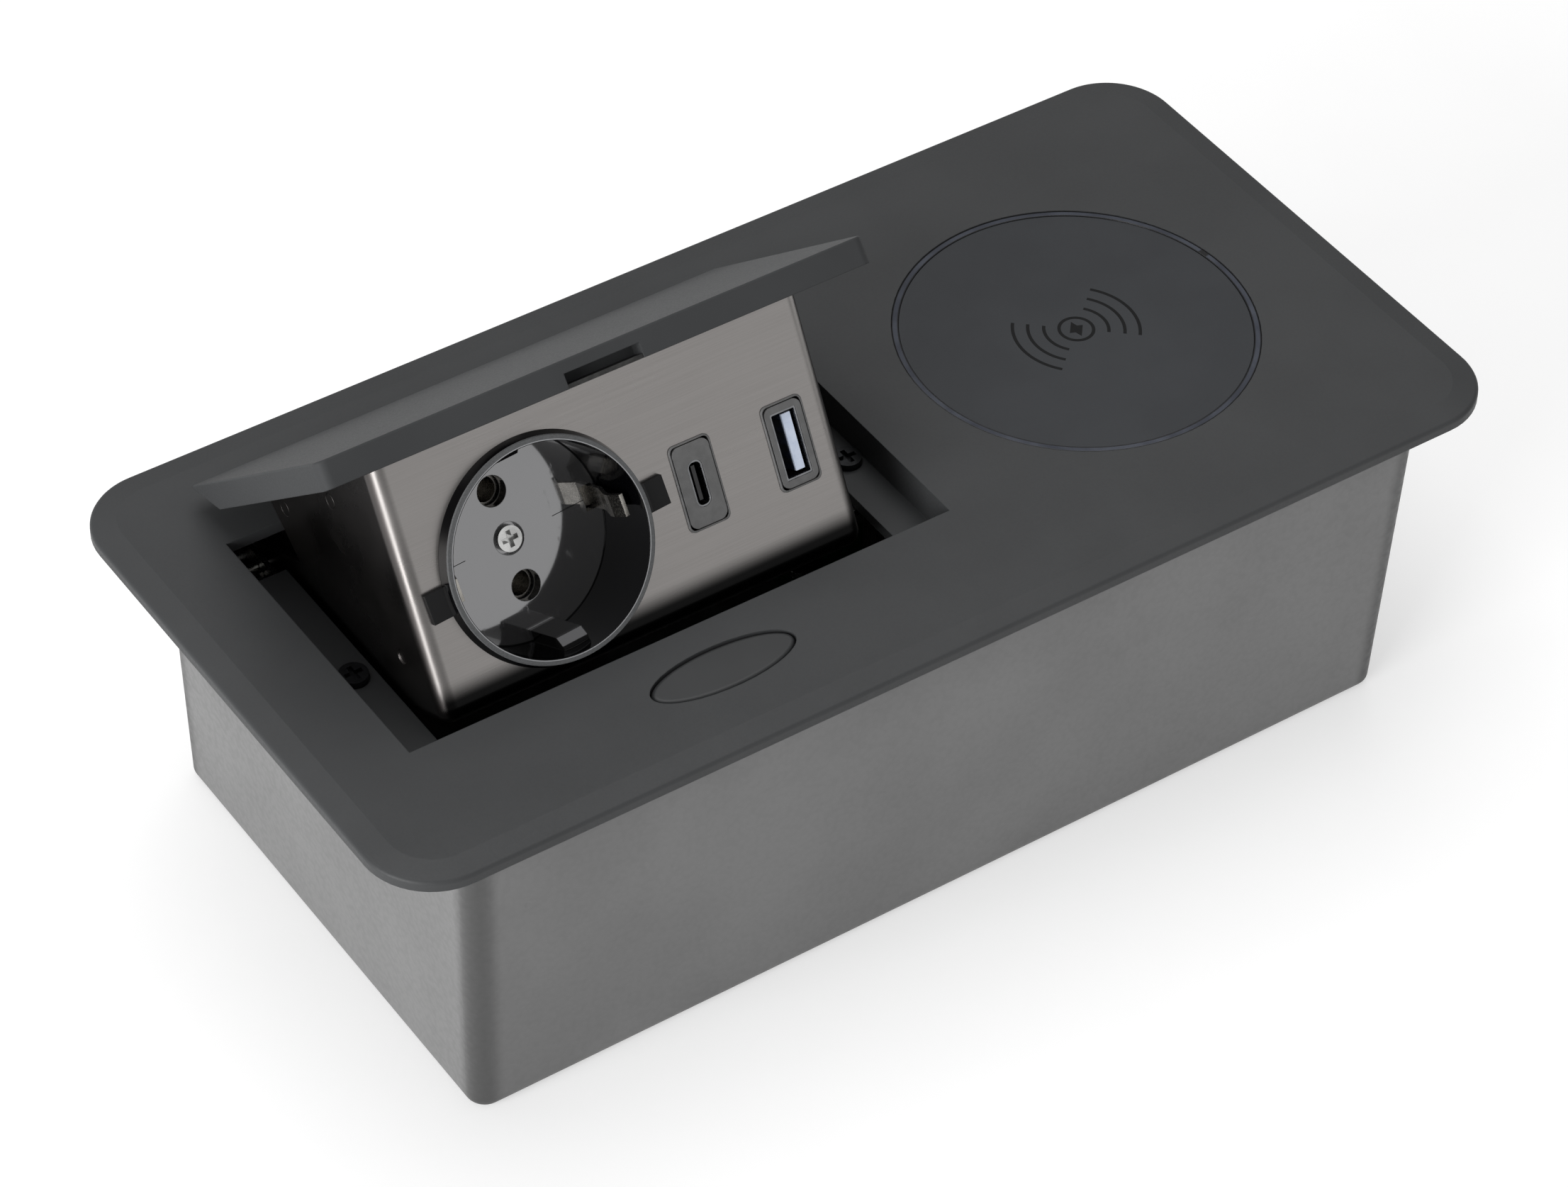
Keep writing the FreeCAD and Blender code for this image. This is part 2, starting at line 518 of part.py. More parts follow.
def cableInlet():
    """The gland seats square on the drafted rear wall."""
    axis = Placement(spot("inletX", cableY, "inletHeight"), Rotation(alongX, -90 - amount("caseDraft")))
    turnedBody("cable_gland", [
        ("inletBore", "inletLip"), ("inletBore", "-inletInside"), ("inletHole - screwPlay", "-inletInside"),
        ("inletHole - screwPlay", "0"), ("inletFlange", "0"), ("inletFlange", "inletLip/2"),
        ("inletFlange - inletLip/2", "inletLip")], axis)
    nut = newBody("gland_nut", axis)
    hexagon = newSketch(nut, "NutSketch", lift="-caseWall - screwPlay")
    polygon(hexagon, [(f"nutRadius*cos({60 * k}deg)", f"nutRadius*sin({60 * k}deg)") for k in range(6)])
    pad(nut, "NutPad", hexagon, "nutThick", reverse=True)
    hole = newSketch(nut, "NutHole", lift="-caseWall - screwPlay")
    circle(hole, "0", "0", "inletHole")
    pocket(nut, "NutPocket", hole, "nutThick")


# Hinge: folded ears under the ledges, pins, clips and opening springs

def hingeBracket(side, earStart, screwX, flangeEnd):
    body = newBody(f"hinge_bracket_{side}")
    ear = newSketch(body, f"{side}_ear", "YZ_Plane", lift=earStart)
    polygon(ear, [("-bracketFront", ledgeUnder), ("bracketEnd", ledgeUnder),
                  ("bracketEnd", f"{ledgeUnder} - bracketTall"),
                  ("bracketHeel", f"{ledgeUnder} - bracketTall"),
                  ("-bracketFront", f"{ledgeUnder} - bracketNose")])
    pad(body, f"{side}_ear_pad", ear, "bracketThick")
    flange = newSketch(body, f"{side}_flange", lift=ledgeUnder)
    rectangle(flange, earStart if side == "right" else flangeEnd,
              flangeEnd if side == "right" else f"{earStart} + bracketThick", "-bracketFront", "ledgeRear")
    pad(body, f"{side}_flange_pad", flange, "bracketThick", reverse=True)
    fold = amount(earStart if side == "right" else f"{earStart} + bracketThick")
    top = amount(ledgeUnder)
    roundEdges(body, f"{side}_fold", lambda edge: isAlong(edge, alongY) and isLevel(edge, top)
               and abs(edge.BoundBox.XMin - fold) < 1e-3, "foldRound")
    holes = newSketch(body, f"{side}_holes", "YZ_Plane", lift=earStart)
    circle(holes, "pivotY", pivotZ, "pinRadius + pinFit")
    circle(holes, f"pivotY + pegRing*cos({restPegAngle})", f"{pivotZ} + pegRing*sin({restPegAngle})",
           "pegRadius")
    pocket(body, f"{side}_bores", holes, "bracketThick", reverse=True)
    travel = newSketch(body, f"{side}_slot", "YZ_Plane", lift=earStart)
    tie(travel, "AttachmentOffset.Base.x", "pivotY")
    tie(travel, "AttachmentOffset.Base.y", pivotZ)
    arcSlot(travel, "pegRing", f"{pegAngle} - openAngle*1deg", pegAngle, "pegRadius + pegPlay")
    pocket(body, f"{side}_slot_cut", travel, "bracketThick", reverse=True)
    bore = newSketch(body, f"{side}_screw", lift=ledgeUnder)
    circle(bore, screwX, "-ledgeScrewY", "screwRadius + screwPlay/4")
    pocket(body, f"{side}_screw_bore", bore, "bracketThick")


def arcSlot(sketch, ring, startTurn, endTurn, half):
    """A round-ended slot along an arc about the sketch's origin."""
    start, end = radians(amount(startTurn)), radians(amount(endTurn))
    reach, width = amount(ring), amount(half)
    ends = [Vector(reach * cos(turn), reach * sin(turn), 0) for turn in (start, end)]
    arcs = [(Vector(), reach + width, start, end), (ends[1], width, end, end + pi),
            (Vector(), reach - width, start, end), (ends[0], width, start + pi, start + 2 * pi)]
    for middle, radius, first, last in arcs:
        sketch.addGeometry(Part.ArcOfCircle(Part.Circle(middle, alongZ, radius), first, last))
    for a, pointA, b, pointB in ((0, 2, 1, 1), (1, 2, 2, 2), (2, 1, 3, 1), (3, 2, 0, 1)):
        sketch.addConstraint(Sketcher.Constraint("Coincident", a, pointA, b, pointB))
    for arc, radius in ((0, f"{ring} + {half}"), (2, f"{ring} - ({half})")):
        sketch.addConstraint(Sketcher.Constraint("Coincident", arc, 3, -1, 1))
        holdSize(sketch, "Radius", arc, radius)


def atHinge(side, x):
    """A place on the pivot's axis whose +Z points away from the box; x is measured from its middle."""
    turn = toLeft if side < 0 else toRight
    return Placement(spot(f"{boxMiddle} + {side}*({x})", "pivotY", pivotZ), turn)


def atPeg(side, x, angle):
    place = atHinge(side, x)
    place.Base = place.Base + spot("0", f"pegRing*cos({angle})", f"pegRing*sin({angle})")
    return place


def hingePins():
    pins, clips, bushes, pegs, restPegs = [], [], [], [], []
    for side in (-1, 1):
        tag = "left" if side < 0 else "right"
        shank = cylinder(f"{tag}_shank", "pinRadius", f"({earOuter}) - ({pinSeat}) + pinTail")
        head = cylinder(f"{tag}_head", "pinHead", "pinHeadThick", "-pinHeadThick")
        pin = fuse(f"{tag}_pin", [shank, head])
        pin.Placement = atHinge(side, pinSeat)
        pins.append(pin)
        washer = cylinder(f"{tag}_washer", "clipRadius", "clipThick")
        eye = cylinder(f"{tag}_washer_eye", "pinRadius", "clipThick")
        clip = cut(f"{tag}_clip", washer, eye)
        clip.Placement = atHinge(side, f"{earOuter} + coilPlay*2 + coilWire + coilPitch*coilTurns")
        clips.append(clip)
        sleeve = cylinder(f"{tag}_sleeve", "pinRadius + pinFit + bushWall", "bushLong", "-bushLong")
        flange = cylinder(f"{tag}_bush_flange", "bushFlange", "earGap - earPlay")
        bore = cylinder(f"{tag}_bush_bore", "pinRadius + pinFit", "bushLong + earGap", "-bushLong")
        bush = cut(f"{tag}_bush", fuse(f"{tag}_bush_blank", [sleeve, flange]), bore)
        bush.Placement = atHinge(side, boxHalf)
        bushes.append(bush)
        peg = cylinder(f"{tag}_peg", "pegRadius", "pegLong")
        peg.Placement = atPeg(side, boxHalf, f"({pegAngle} - openAngle*1deg)")
        pegs.append(peg)
        restPeg = cylinder(f"{tag}_rest_peg", "pegRadius", "restPegLong")
        restPeg.Placement = atPeg(side, f"{boxHalf} + earGap", restPegAngle)
        restPegs.append(restPeg)
    group("hinge_pins", pins)
    group("pin_clips", clips)
    group("hinge_bushes", bushes)
    group("arm_pegs", pegs)
    group("ear_pegs", restPegs)


def hingeSprings():
    """Two torsion springs: a moving leg under the arm's peg, a resting leg against the ear's peg.
    The wire is one sweep along a tangent leg, the coil and the other tangent leg."""
    radius, pitch, wire = amount("coilRadius"), amount("coilPitch"), amount("coilWire")
    first = amount("legTurn - openAngle")
    last = amount("restLegTurn + 360*coilTurns")
    rise = pitch * (last - first) / 360
    coil = Part.makeHelix(pitch, rise, radius)
    coil.rotate(Vector(), alongZ, first)
    ends = []
    for turn, height in ((radians(first), 0), (radians(last), rise)):
        point = Vector(radius * cos(turn), radius * sin(turn), height)
        along = Vector(-radius * sin(turn), radius * cos(turn), pitch / (2 * pi)).normalize()
        ends.append((point, along))
    long = amount("legLong")
    legs = [Part.makeLine(ends[0][0] - ends[0][1] * long, ends[0][0]),
            Part.makeLine(ends[1][0], ends[1][0] + ends[1][1] * long)]
    path = Part.Wire([legs[0]] + coil.Edges + [legs[1]])
    start = ends[0][0] - ends[0][1] * long
    ring = Part.Wire([Part.Circle(start, ends[0][1], wire / 2).toShape()])
    right = path.makePipeShell([ring], True, True)
    turn = Rotation(alongY, alongZ, alongX, "XYZ")
    seat = spot(f"{boxMiddle} + {earOuter} + coilPlay + coilWire/2", "pivotY", pivotZ)
    right.transformShape(Placement(seat, turn).toMatrix())
    left = right.mirror(spot(boxMiddle, "0", "0"), alongX)
    springs = doc.addObject("Part::Feature", "hinge_springs")
    springs.Label = "hinge_springs"
    springs.Shape = Part.Compound([left, right])


# Pop-up unit: modelled shut, then swung open about the pivot

def lid():
    body = newBody("lid", opened)
    left, right = "lidGap - openLeft", "openRight - lidGap"
    front, rear = "lidGap - openFront", "openRear - lidRearGap"
    side = newSketch(body, "LidSide", "YZ_Plane", lift=left)
    polygon(side, [(front, lidUnder), (f"{rear} - lidBevel", lidUnder),
                   (rear, f"{lidUnder} + lidBevelHigh"), (rear, "topHeight"), (front, "topHeight")])
    pad(body, "LidBlock", side, f"{right} - ({left})")
    ahead = amount(front)
    roundEdges(body, "LidCorners", lambda edge: isAlong(edge, alongZ)
               and abs(edge.BoundBox.YMin - ahead) < 1e-3, "lidCorner")
    top = amount("topHeight")
    roundEdges(body, "LidEdge", lambda edge: isLevel(edge, top), "lidEdge")
    for i, x in enumerate((f"{boxMiddle} - {boxHalf} + sheet + lugPlay",
                           f"{boxMiddle} + {boxHalf} - sheet - lugPlay - lugThick"), start=1):
        lugs = newSketch(body, f"LugSketch{i}", "YZ_Plane", lift=x)
        for place in lugPlaces.values():
            rectangle(lugs, f"{panelY} + {place} - lugLong/2", f"{panelY} + {place} + lugLong/2",
                      f"{lidUnder} - lugDeep", f"{lidUnder} + sheet")
        pad(body, f"LugPad{i}", lugs, "lugThick")
    cells = newSketch(body, "LidCells", lift=lidUnder)
    inner = f"{boxHalf} - sheet - lugPlay*2 - lugThick - lidRib"
    third = f"({inner})*2/3"
    for k in (-1, 0, 1):
        rectangle(cells, f"{boxMiddle} + {k}*({third}) - ({third} - lidRib)/2",
                  f"{boxMiddle} + {k}*({third}) + ({third} - lidRib)/2",
                  f"{panelY} + sheet + strikeLong + lidRib", f"{rear} - lidBevel - lidRib")
    pocket(body, "LidHollows", cells, "lidThick - lidWall", reverse=True)
    plate = newSketch(body, "StrikeSeat", lift=lidUnder)
    rectangle(plate, "-buttonX - strikeWide/2 - lugPlay", "-buttonX + strikeWide/2 + lugPlay",
              f"{front} + strikeBack", f"{front} + strikeBack + strikeLong + lugPlay")
    pocket(body, "StrikeRecess", plate, "strikeThick", reverse=True)
    slot = newSketch(body, "SlotSketch", "XZ_Plane", lift=f"-({front})")
    rectangle(slot, "-buttonX - slotWide/2", "-buttonX + slotWide/2", lidUnder, f"{lidUnder} + slotHigh")
    pocket(body, "LatchSlot", slot, "slotDeep")
    holes = newSketch(body, "LugHoles", "YZ_Plane", lift=f"{boxMiddle} - {boxHalf}")
    for place in lugPlaces.values():
        circle(holes, f"{panelY} + {place}", f"{lidUnder} - rivetDown", "rivetRadius")
    pocket(body, "LugBores", holes, f"{boxHalf}*2", reverse=True)

    strike = newBody("lid_strike", opened)
    outline = newSketch(strike, "StrikeSketch", lift=lidUnder)
    rectangle(outline, "-buttonX - strikeWide/2", "-buttonX + strikeWide/2",
              f"{front} + strikeBack", f"{front} + strikeBack + strikeLong")
    pad(strike, "StrikePad", outline, "strikeThick")


def lidRivets():
    """Flush outside, headed inside the lugs."""
    rivets = []
    for side in (-1, 1):
        for name, place in lugPlaces.items():
            tag = f"{name}_{'left' if side < 0 else 'right'}"
            shank = cylinder(f"{tag}_rivet", "rivetRadius", "sheet + lugPlay + lugThick")
            head = cylinder(f"{tag}_rivet_head", "rivetHead", "rivetHeadThick", "-rivetHeadThick")
            rivet = fuse(f"{tag}_riveted", [shank, head])
            seat = spot(f"{boxMiddle} + {side}*({boxHalf} - sheet - lugPlay - lugThick)",
                        f"{panelY} + {place}", f"{lidUnder} - rivetDown")
            rivet.Placement = opened.multiply(Placement(seat, toLeft if side < 0 else toRight))
            rivets.append(rivet)
    group("lid_rivets", rivets)


topSlope = "tan(panelLean*1deg)"
rearSlope = f"(({rearTop} - rearFoot)/(panelHigh - {rearTop}*{topSlope}))"


def foldedBlock(name, start, wide, corners, low, radius):
    """A block of the box's side outline, its front and bottom edges rounded as one bend."""
    body = newBody(name)
    side = newSketch(body, f"{name}_side", "YZ_Plane", lift=start)
    polygon(side, corners)
    pad(body, f"{name}_pad", side, wide)
    front, foot = amount(corners[0][1]), amount(low)
    roundEdges(body, f"{name}_bends", lambda edge: (isAlong(edge, alongY) and isLevel(edge, front))
               or (abs(edge.BoundBox.YMax - foot) < 1e-3 and
                   (isAlong(edge, alongZ) or isLevel(edge, front))), radius)
    return body


def flipBox():
    """One folded sheet: front panel, foot, and two cheeks with arms to the pivot."""
    outer = foldedBlock("BoxOuter", "-boxLeft", "boxLeft - boxRight",
                        [("0", "0"), ("-panelHigh", "0"), ("-panelHigh", "-rearFoot"),
                         (f"-{rearTop}*{topSlope}", f"-{rearTop}")], "-panelHigh", "sideBend")
    inner = foldedBlock("BoxInner", "sheet - boxLeft", "boxLeft - boxRight - sheet*2",
                        [("panelHigh", "-sheet"), ("sheet - panelHigh", "-sheet"),
                         ("sheet - panelHigh", f"-{rearTop}*2"), ("panelHigh", f"-{rearTop}*2")],
                        "sheet - panelHigh", "sideBend - sheet")
    folded = cut("BoxFolded", outer, inner)
    doc.recompute()
    body = newBody("flip_box")
    body.BaseFeature = folded
    doc.recompute()
    for i, x in enumerate(("-boxLeft", "-boxRight - sheet"), start=1):
        arm = newSketch(body, f"ArmSketch{i}", "YZ_Plane", lift=x)
        polygon(arm, [("-armRootDown + armRootHalf", "-armRoot"), ("-armRootDown - armRootHalf", "-armRoot"),
                      (f"{pivotV} - armUp", pivotN), (f"{pivotV} + armUp", pivotN)])
        pad(body, f"ArmPad{i}", arm, "sheet")
        eye = newSketch(body, f"EyeSketch{i}", "YZ_Plane", lift=x)
        circle(eye, pivotV, pivotN, "armEye")
        pad(body, f"EyePad{i}", eye, "sheet")
    bores = newSketch(body, "PivotBores", "YZ_Plane", lift="-boxLeft")
    circle(bores, pivotV, pivotN, "pinRadius + pinFit + bushWall")
    pocket(body, "PivotHoles", bores, "boxLeft - boxRight", reverse=True)
    rivets = newSketch(body, "RivetSketch", "YZ_Plane", lift="-boxLeft")
    for place in lugPlaces.values():
        v = f"-({place})*sin(panelLean*1deg) - rivetDown*cos(panelLean*1deg)"
        n = f"-({place})*cos(panelLean*1deg) + rivetDown*sin(panelLean*1deg)"
        circle(rivets, v, n, "rivetRadius")
    pocket(body, "RivetHoles", rivets, "boxLeft - boxRight", reverse=True)
    for i, (x, inward) in enumerate((("-boxLeft", True), ("-boxRight", False)), start=1):
        dimple = newSketch(body, f"DimpleSketch{i}", "YZ_Plane", lift=x)
        circle(dimple, "-dimpleV", "-dimpleN", "rivetRadius")
        pocket(body, f"Dimple{i}", dimple, "dimpleDeep", reverse=inward)

    face = newSketch(body, "PanelSketch")
    circle(face, "-socketX", "-socketDown", "rimInner + insertWall + socketPlay")
    for x in ("usbCX", "usbAX"):
        wide, tall = "(usbPlateWide/2 + usbGap)", "(usbPlateHigh/2 + usbGap)"
        rectangle(face, f"-{x} - {wide}", f"-{x} + {wide}", f"-usbDown - {tall}", f"-usbDown + {tall}")
    pocket(body, "PanelHoles", face, "sheet*1.5")
    body.Placement = panelPlace


def flipBack():
    """Closes the rear of the box between the cheeks, with two lips that lap their inner faces."""
    body = newBody("flip_back", panelPlace)
    low = "(sideBend + coverPlay - panelHigh)"
    lowN = f"(-rearFoot - ({low} + panelHigh)*{rearSlope})"
    section = newSketch(body, "BackSketch", "YZ_Plane", lift="sheet + coverPlay/2 - boxLeft")
    top = f"(-{rearTop}*{topSlope})"
    polygon(section, [(low, lowN), (top, f"-{rearTop}"), (f"{top} + sheet*{topSlope}", f"-{rearTop} + sheet"),
                      (low, f"{lowN} + sheet")])
    pad(body, "BackPad", section, "boxLeft - boxRight - sheet*2 - coverPlay")
    for i, x in enumerate(("sheet + coverPlay/2 - boxLeft", "-boxRight - sheet*2 - coverPlay/2"), start=1):
        lap = newSketch(body, f"LapSketch{i}", "YZ_Plane", lift=x)
        lapTop = "(-panelHigh/2)"
        lapN = f"(-rearFoot - ({lapTop} + panelHigh)*{rearSlope})"
        polygon(lap, [(low, lowN), (lapTop, lapN), (lapTop, f"{lapN} + coverLap"),
                      (low, f"{lowN} + coverLap")])
        pad(body, f"LapPad{i}", lap, "sheet")


# Earthed socket: a moulded well through the panel, its contacts and earth strip behind it

def socketInsert():
    body = newBody("socket_insert", socketPlace)
    floor = "(rimHigh - wellDeep)"
    section = newSketch(body, "InsertSection", "XZ_Plane")
    polygon(section, [("0", floor), ("rimInner", floor), ("rimInner", "rimHigh"), ("rimOuter", "rimHigh"),
                      ("skirtOuter", "0"), ("rimInner + insertWall", "0"),
                      ("rimInner + insertWall", f"{floor} - wellFloor"), ("0", f"{floor} - wellFloor")])
    turned(body, "InsertTurned", section)
    tabs = newSketch(body, "TabSketch")
    for a, b in (("-tabReach", "-rimInner - insertWall/2"), ("rimInner + insertWall/2", "tabReach")):
        rectangle(tabs, a, b, "-tabHalf", "tabHalf")
    pad(body, "TabPad", tabs, "tabThick")
    ribs = newSketch(body, "RibSketch", lift=floor)
    for a, b in (("-rimInner - insertWall/2", "-ribInner"), ("ribInner", "rimInner + insertWall/2")):
        rectangle(ribs, "-ribHalf", "ribHalf", a, b)
    pad(body, "RibPad", ribs, "wellDeep - rimHigh - ribEnd")
    front, edge0 = amount("-ribEnd"), amount("ribInner")
    base = body.Tip
    chamfer = body.newObject("PartDesign::Chamfer", "RibLeadIn")
    chamfer.Base = (base, picked(base.Shape, lambda edge: isAlong(edge, alongX) and isLevel(edge, front)
                                 and abs(abs(edge.BoundBox.YMin) - edge0) < 1e-3))
    tie(chamfer, "Size", "(rimInner - ribInner)*ribLead")
    doc.recompute()
    pins = newSketch(body, "PinSketch", lift=floor)
    for v in ("pinSpacing/2", "-pinSpacing/2"):
        circle(pins, "0", v, "pinHole")
    pocket(body, "PinHoles", pins, "wellFloor")
    sink = newSketch(body, "CentreSink", lift=floor)
    circle(sink, "0", "0", "centreHole")
    pocket(body, "CentreSinkPocket", sink, "centreSink")
    centre = newSketch(body, "CentreSketch", lift=floor)
    circle(centre, "0", "0", "screwRadius + screwPlay")
    pocket(body, "CentreBore", centre, "wellFloor")
    slots = newSketch(body, "EarthSlots", lift=floor)
    half = "(earthHalf + earthPlay)"
    for a, b in (("-earthReach - earthPlay", "-earthReach + earthStrip + earthNip + earthPlay"),
                 ("earthReach - earthStrip - earthNip - earthPlay", "earthReach + earthPlay")):
        rectangle(slots, a, b, f"-{half}", half)
    pocket(body, "EarthSlotPocket", slots, "wellFloor")


def earthStrip():
    """One folded strip: flat under the well's floor, up through it, nipped in and curled out."""
    body = newBody("earth_strip", socketPlace)
    floor = "(rimHigh - wellDeep)"
    under = f"({floor} - wellFloor)"
    outer = [("earthReach", f"{under} - earthStrip"), ("earthReach", f"{floor}*nipFoot"),
             ("earthReach - earthNip", f"{floor}*nipLow"), ("earthReach - earthNip", f"{floor}*nipHigh"),
             ("earthReach - earthNip/3", "-earthTop")]
    inner = [("earthReach - earthNip/3 - earthStrip", "-earthTop"),
             ("earthReach - earthNip - earthStrip", f"{floor}*nipHigh"),
             ("earthReach - earthNip - earthStrip", f"{floor}*nipLow"),
             ("earthReach - earthStrip", f"{floor}*nipFoot"), ("earthReach - earthStrip", under)]
    side = newSketch(body, "StripSide", "XZ_Plane", lift="-earthHalf")
    polygon(side, outer + inner + [(f"-({x})", z) for x, z in reversed(outer + inner)])
    pad(body, "StripPad", side, "earthHalf*2")
    hole = newSketch(body, "StripHole", lift=under)
    circle(hole, "0", "0", "screwRadius + screwPlay")
    pocket(body, "StripBore", hole, "earthStrip")


def socketBase():
    body = newBody("socket_base", socketPlace)
    top = "(rimHigh - wellDeep - wellFloor - earthStrip)"
    outline = newSketch(body, "BaseSketch", lift=top)
    circle(outline, "0", "0", "baseRadius")
    pad(body, "BasePad", outline, baseDeep, reverse=True)
    bores = newSketch(body, "BaseBores", lift=top)
    for v in ("pinSpacing/2", "-pinSpacing/2"):
        circle(bores, "0", v, "sleeveInner + sleeveWall + sleevePlay")
    pocket(body, "BaseHoles", bores, f"{baseDeep} - sleeveWall*2")
    pilot = newSketch(body, "BasePilot", lift=top)
    circle(pilot, "0", "0", "screwRadius + screwPlay/4")
    pocket(body, "BasePilotBore", pilot, f"{baseDeep} - sleeveWall*2")
    sleeves = []
    for name, v in (("upper", "pinSpacing/2"), ("lower", "-pinSpacing/2")):
        tube = cylinder(f"{name}_tube", "sleeveInner + sleeveWall", f"{baseDeep} - sleeveWall*2")
        bore = cylinder(f"{name}_bore", "sleeveInner", f"{baseDeep} - sleeveWall*2", "sleeveWall")
        sleeve = cut(f"{name}_sleeve", tube, bore)
        foot = spot("0", v, f"{top} - {baseDeep} + sleeveWall*2")
        sleeve.Placement = socketPlace.multiply(Placement(foot, upward))
        sleeves.append(sleeve)
    group("contact_sleeves", sleeves)
    seat = socketPlace.multiply(Placement(spot("0", "0", "rimHigh - wellDeep - centreSink"), upward))
    screws("socket_screw", [seat], f"wellFloor - centreSink + earthStrip + {baseDeep}/2", "socketScrew")


# Charging ports: plates flush in the panel, sockets behind them, a carrier block and its board

def usbPort(name, x, portWide, portHigh, tongueWide, tongueHigh, shift, rounding):
    front = "(usbPlateProud - portSink)"
    plate = newBody(f"{name}_plate", panelPlace)
    face = newSketch(plate, f"{name}_face", lift="usbPlateProud")
    roundedRectangle(face, f"-{x}", "-usbDown", "usbPlateWide", "usbPlateHigh", "usbPlateCorner")
    roundedRectangle(face, f"-{x}", "-usbDown", portWide, portHigh, rounding)
    pad(plate, f"{name}_face_pad", face, "usbPlateDeep", reverse=True)

    shell = newBody(f"{name}_shell", panelPlace)
    outside = newSketch(shell, f"{name}_outside", lift=front)
    wide, tall = f"{portWide} - usbGap/3", f"{portHigh} - usbGap/3"
    roundedRectangle(outside, f"-{x}", "-usbDown", wide, tall, f"{rounding} - usbGap/6")
    pad(shell, f"{name}_tube", outside, "portDeep", reverse=True)
    inside = newSketch(shell, f"{name}_inside", lift=front)
    roundedRectangle(inside, f"-{x}", "-usbDown", f"{wide} - portWall*2", f"{tall} - portWall*2",
                     f"({rounding} - usbGap/6)*boreRound")
    pocket(shell, f"{name}_bore", inside, "portDeep - portWall")

    tongue = newBody(f"{name}_tongue", panelPlace)
    blade = newSketch(tongue, f"{name}_blade", lift=f"{front} - tongueSink")
    rectangle(blade, f"-{x} - {tongueWide}/2 + {shift}", f"-{x} + {tongueWide}/2 + {shift}",
              f"-usbDown - {tongueHigh}/2", f"-usbDown + {tongueHigh}/2")
    pad(tongue, f"{name}_blade_pad", blade, "portDeep - portWall - tongueSink", reverse=True)


def usbModule():
    usbPort("usb_c", "usbCX", "portCWide", "portCHigh", "tongueCWide", "tongueCHigh",
            "0", "portCRound")
    usbPort("usb_a", "usbAX", "portAWide", "portAHigh", "tongueAWide", "tongueAHigh",
            "tongueAShift", "portWall")
    middle = "(-(usbCX + usbAX)/2)"
    carrier = newBody("usb_block", panelPlace)
    outline = newSketch(carrier, "UsbBlockSketch", lift="-sheet")
    rectangle(outline, f"{middle} - usbBlockWide/2", f"{middle} + usbBlockWide/2",
              "-usbDown - usbBlockHigh/2", "-usbDown + usbBlockHigh/2")
    pad(carrier, "UsbBlockPad", outline, "usbBlockDeep", reverse=True)
    cavities = newSketch(carrier, "UsbCavities", lift="-sheet")
    for x in ("usbCX", "usbAX"):
        wide, tall = "(usbPlateWide/2 + usbGap)", "(usbPlateHigh/2 + usbGap)"
        rectangle(cavities, f"-{x} - {wide}", f"-{x} + {wide}", f"-usbDown - {tall}", f"-usbDown + {tall}")
    pocket(carrier, "UsbCavityPocket", cavities, "usbBlockDeep")
    board = newBody("usb_board", panelPlace)
    plan = newSketch(board, "UsbBoardSketch", lift="-sheet - usbBlockDeep")
    rectangle(plan, f"{middle} - usbBoardWide/2", f"{middle} + usbBoardWide/2",
              "-usbDown - usbBoardHigh/2", "-usbDown + usbBoardHigh/2")
    pad(board, "UsbBoardPad", plan, "boardThick", reverse=True)


# Wireless charger: tray under the plate, light ring and cover disc in its hole

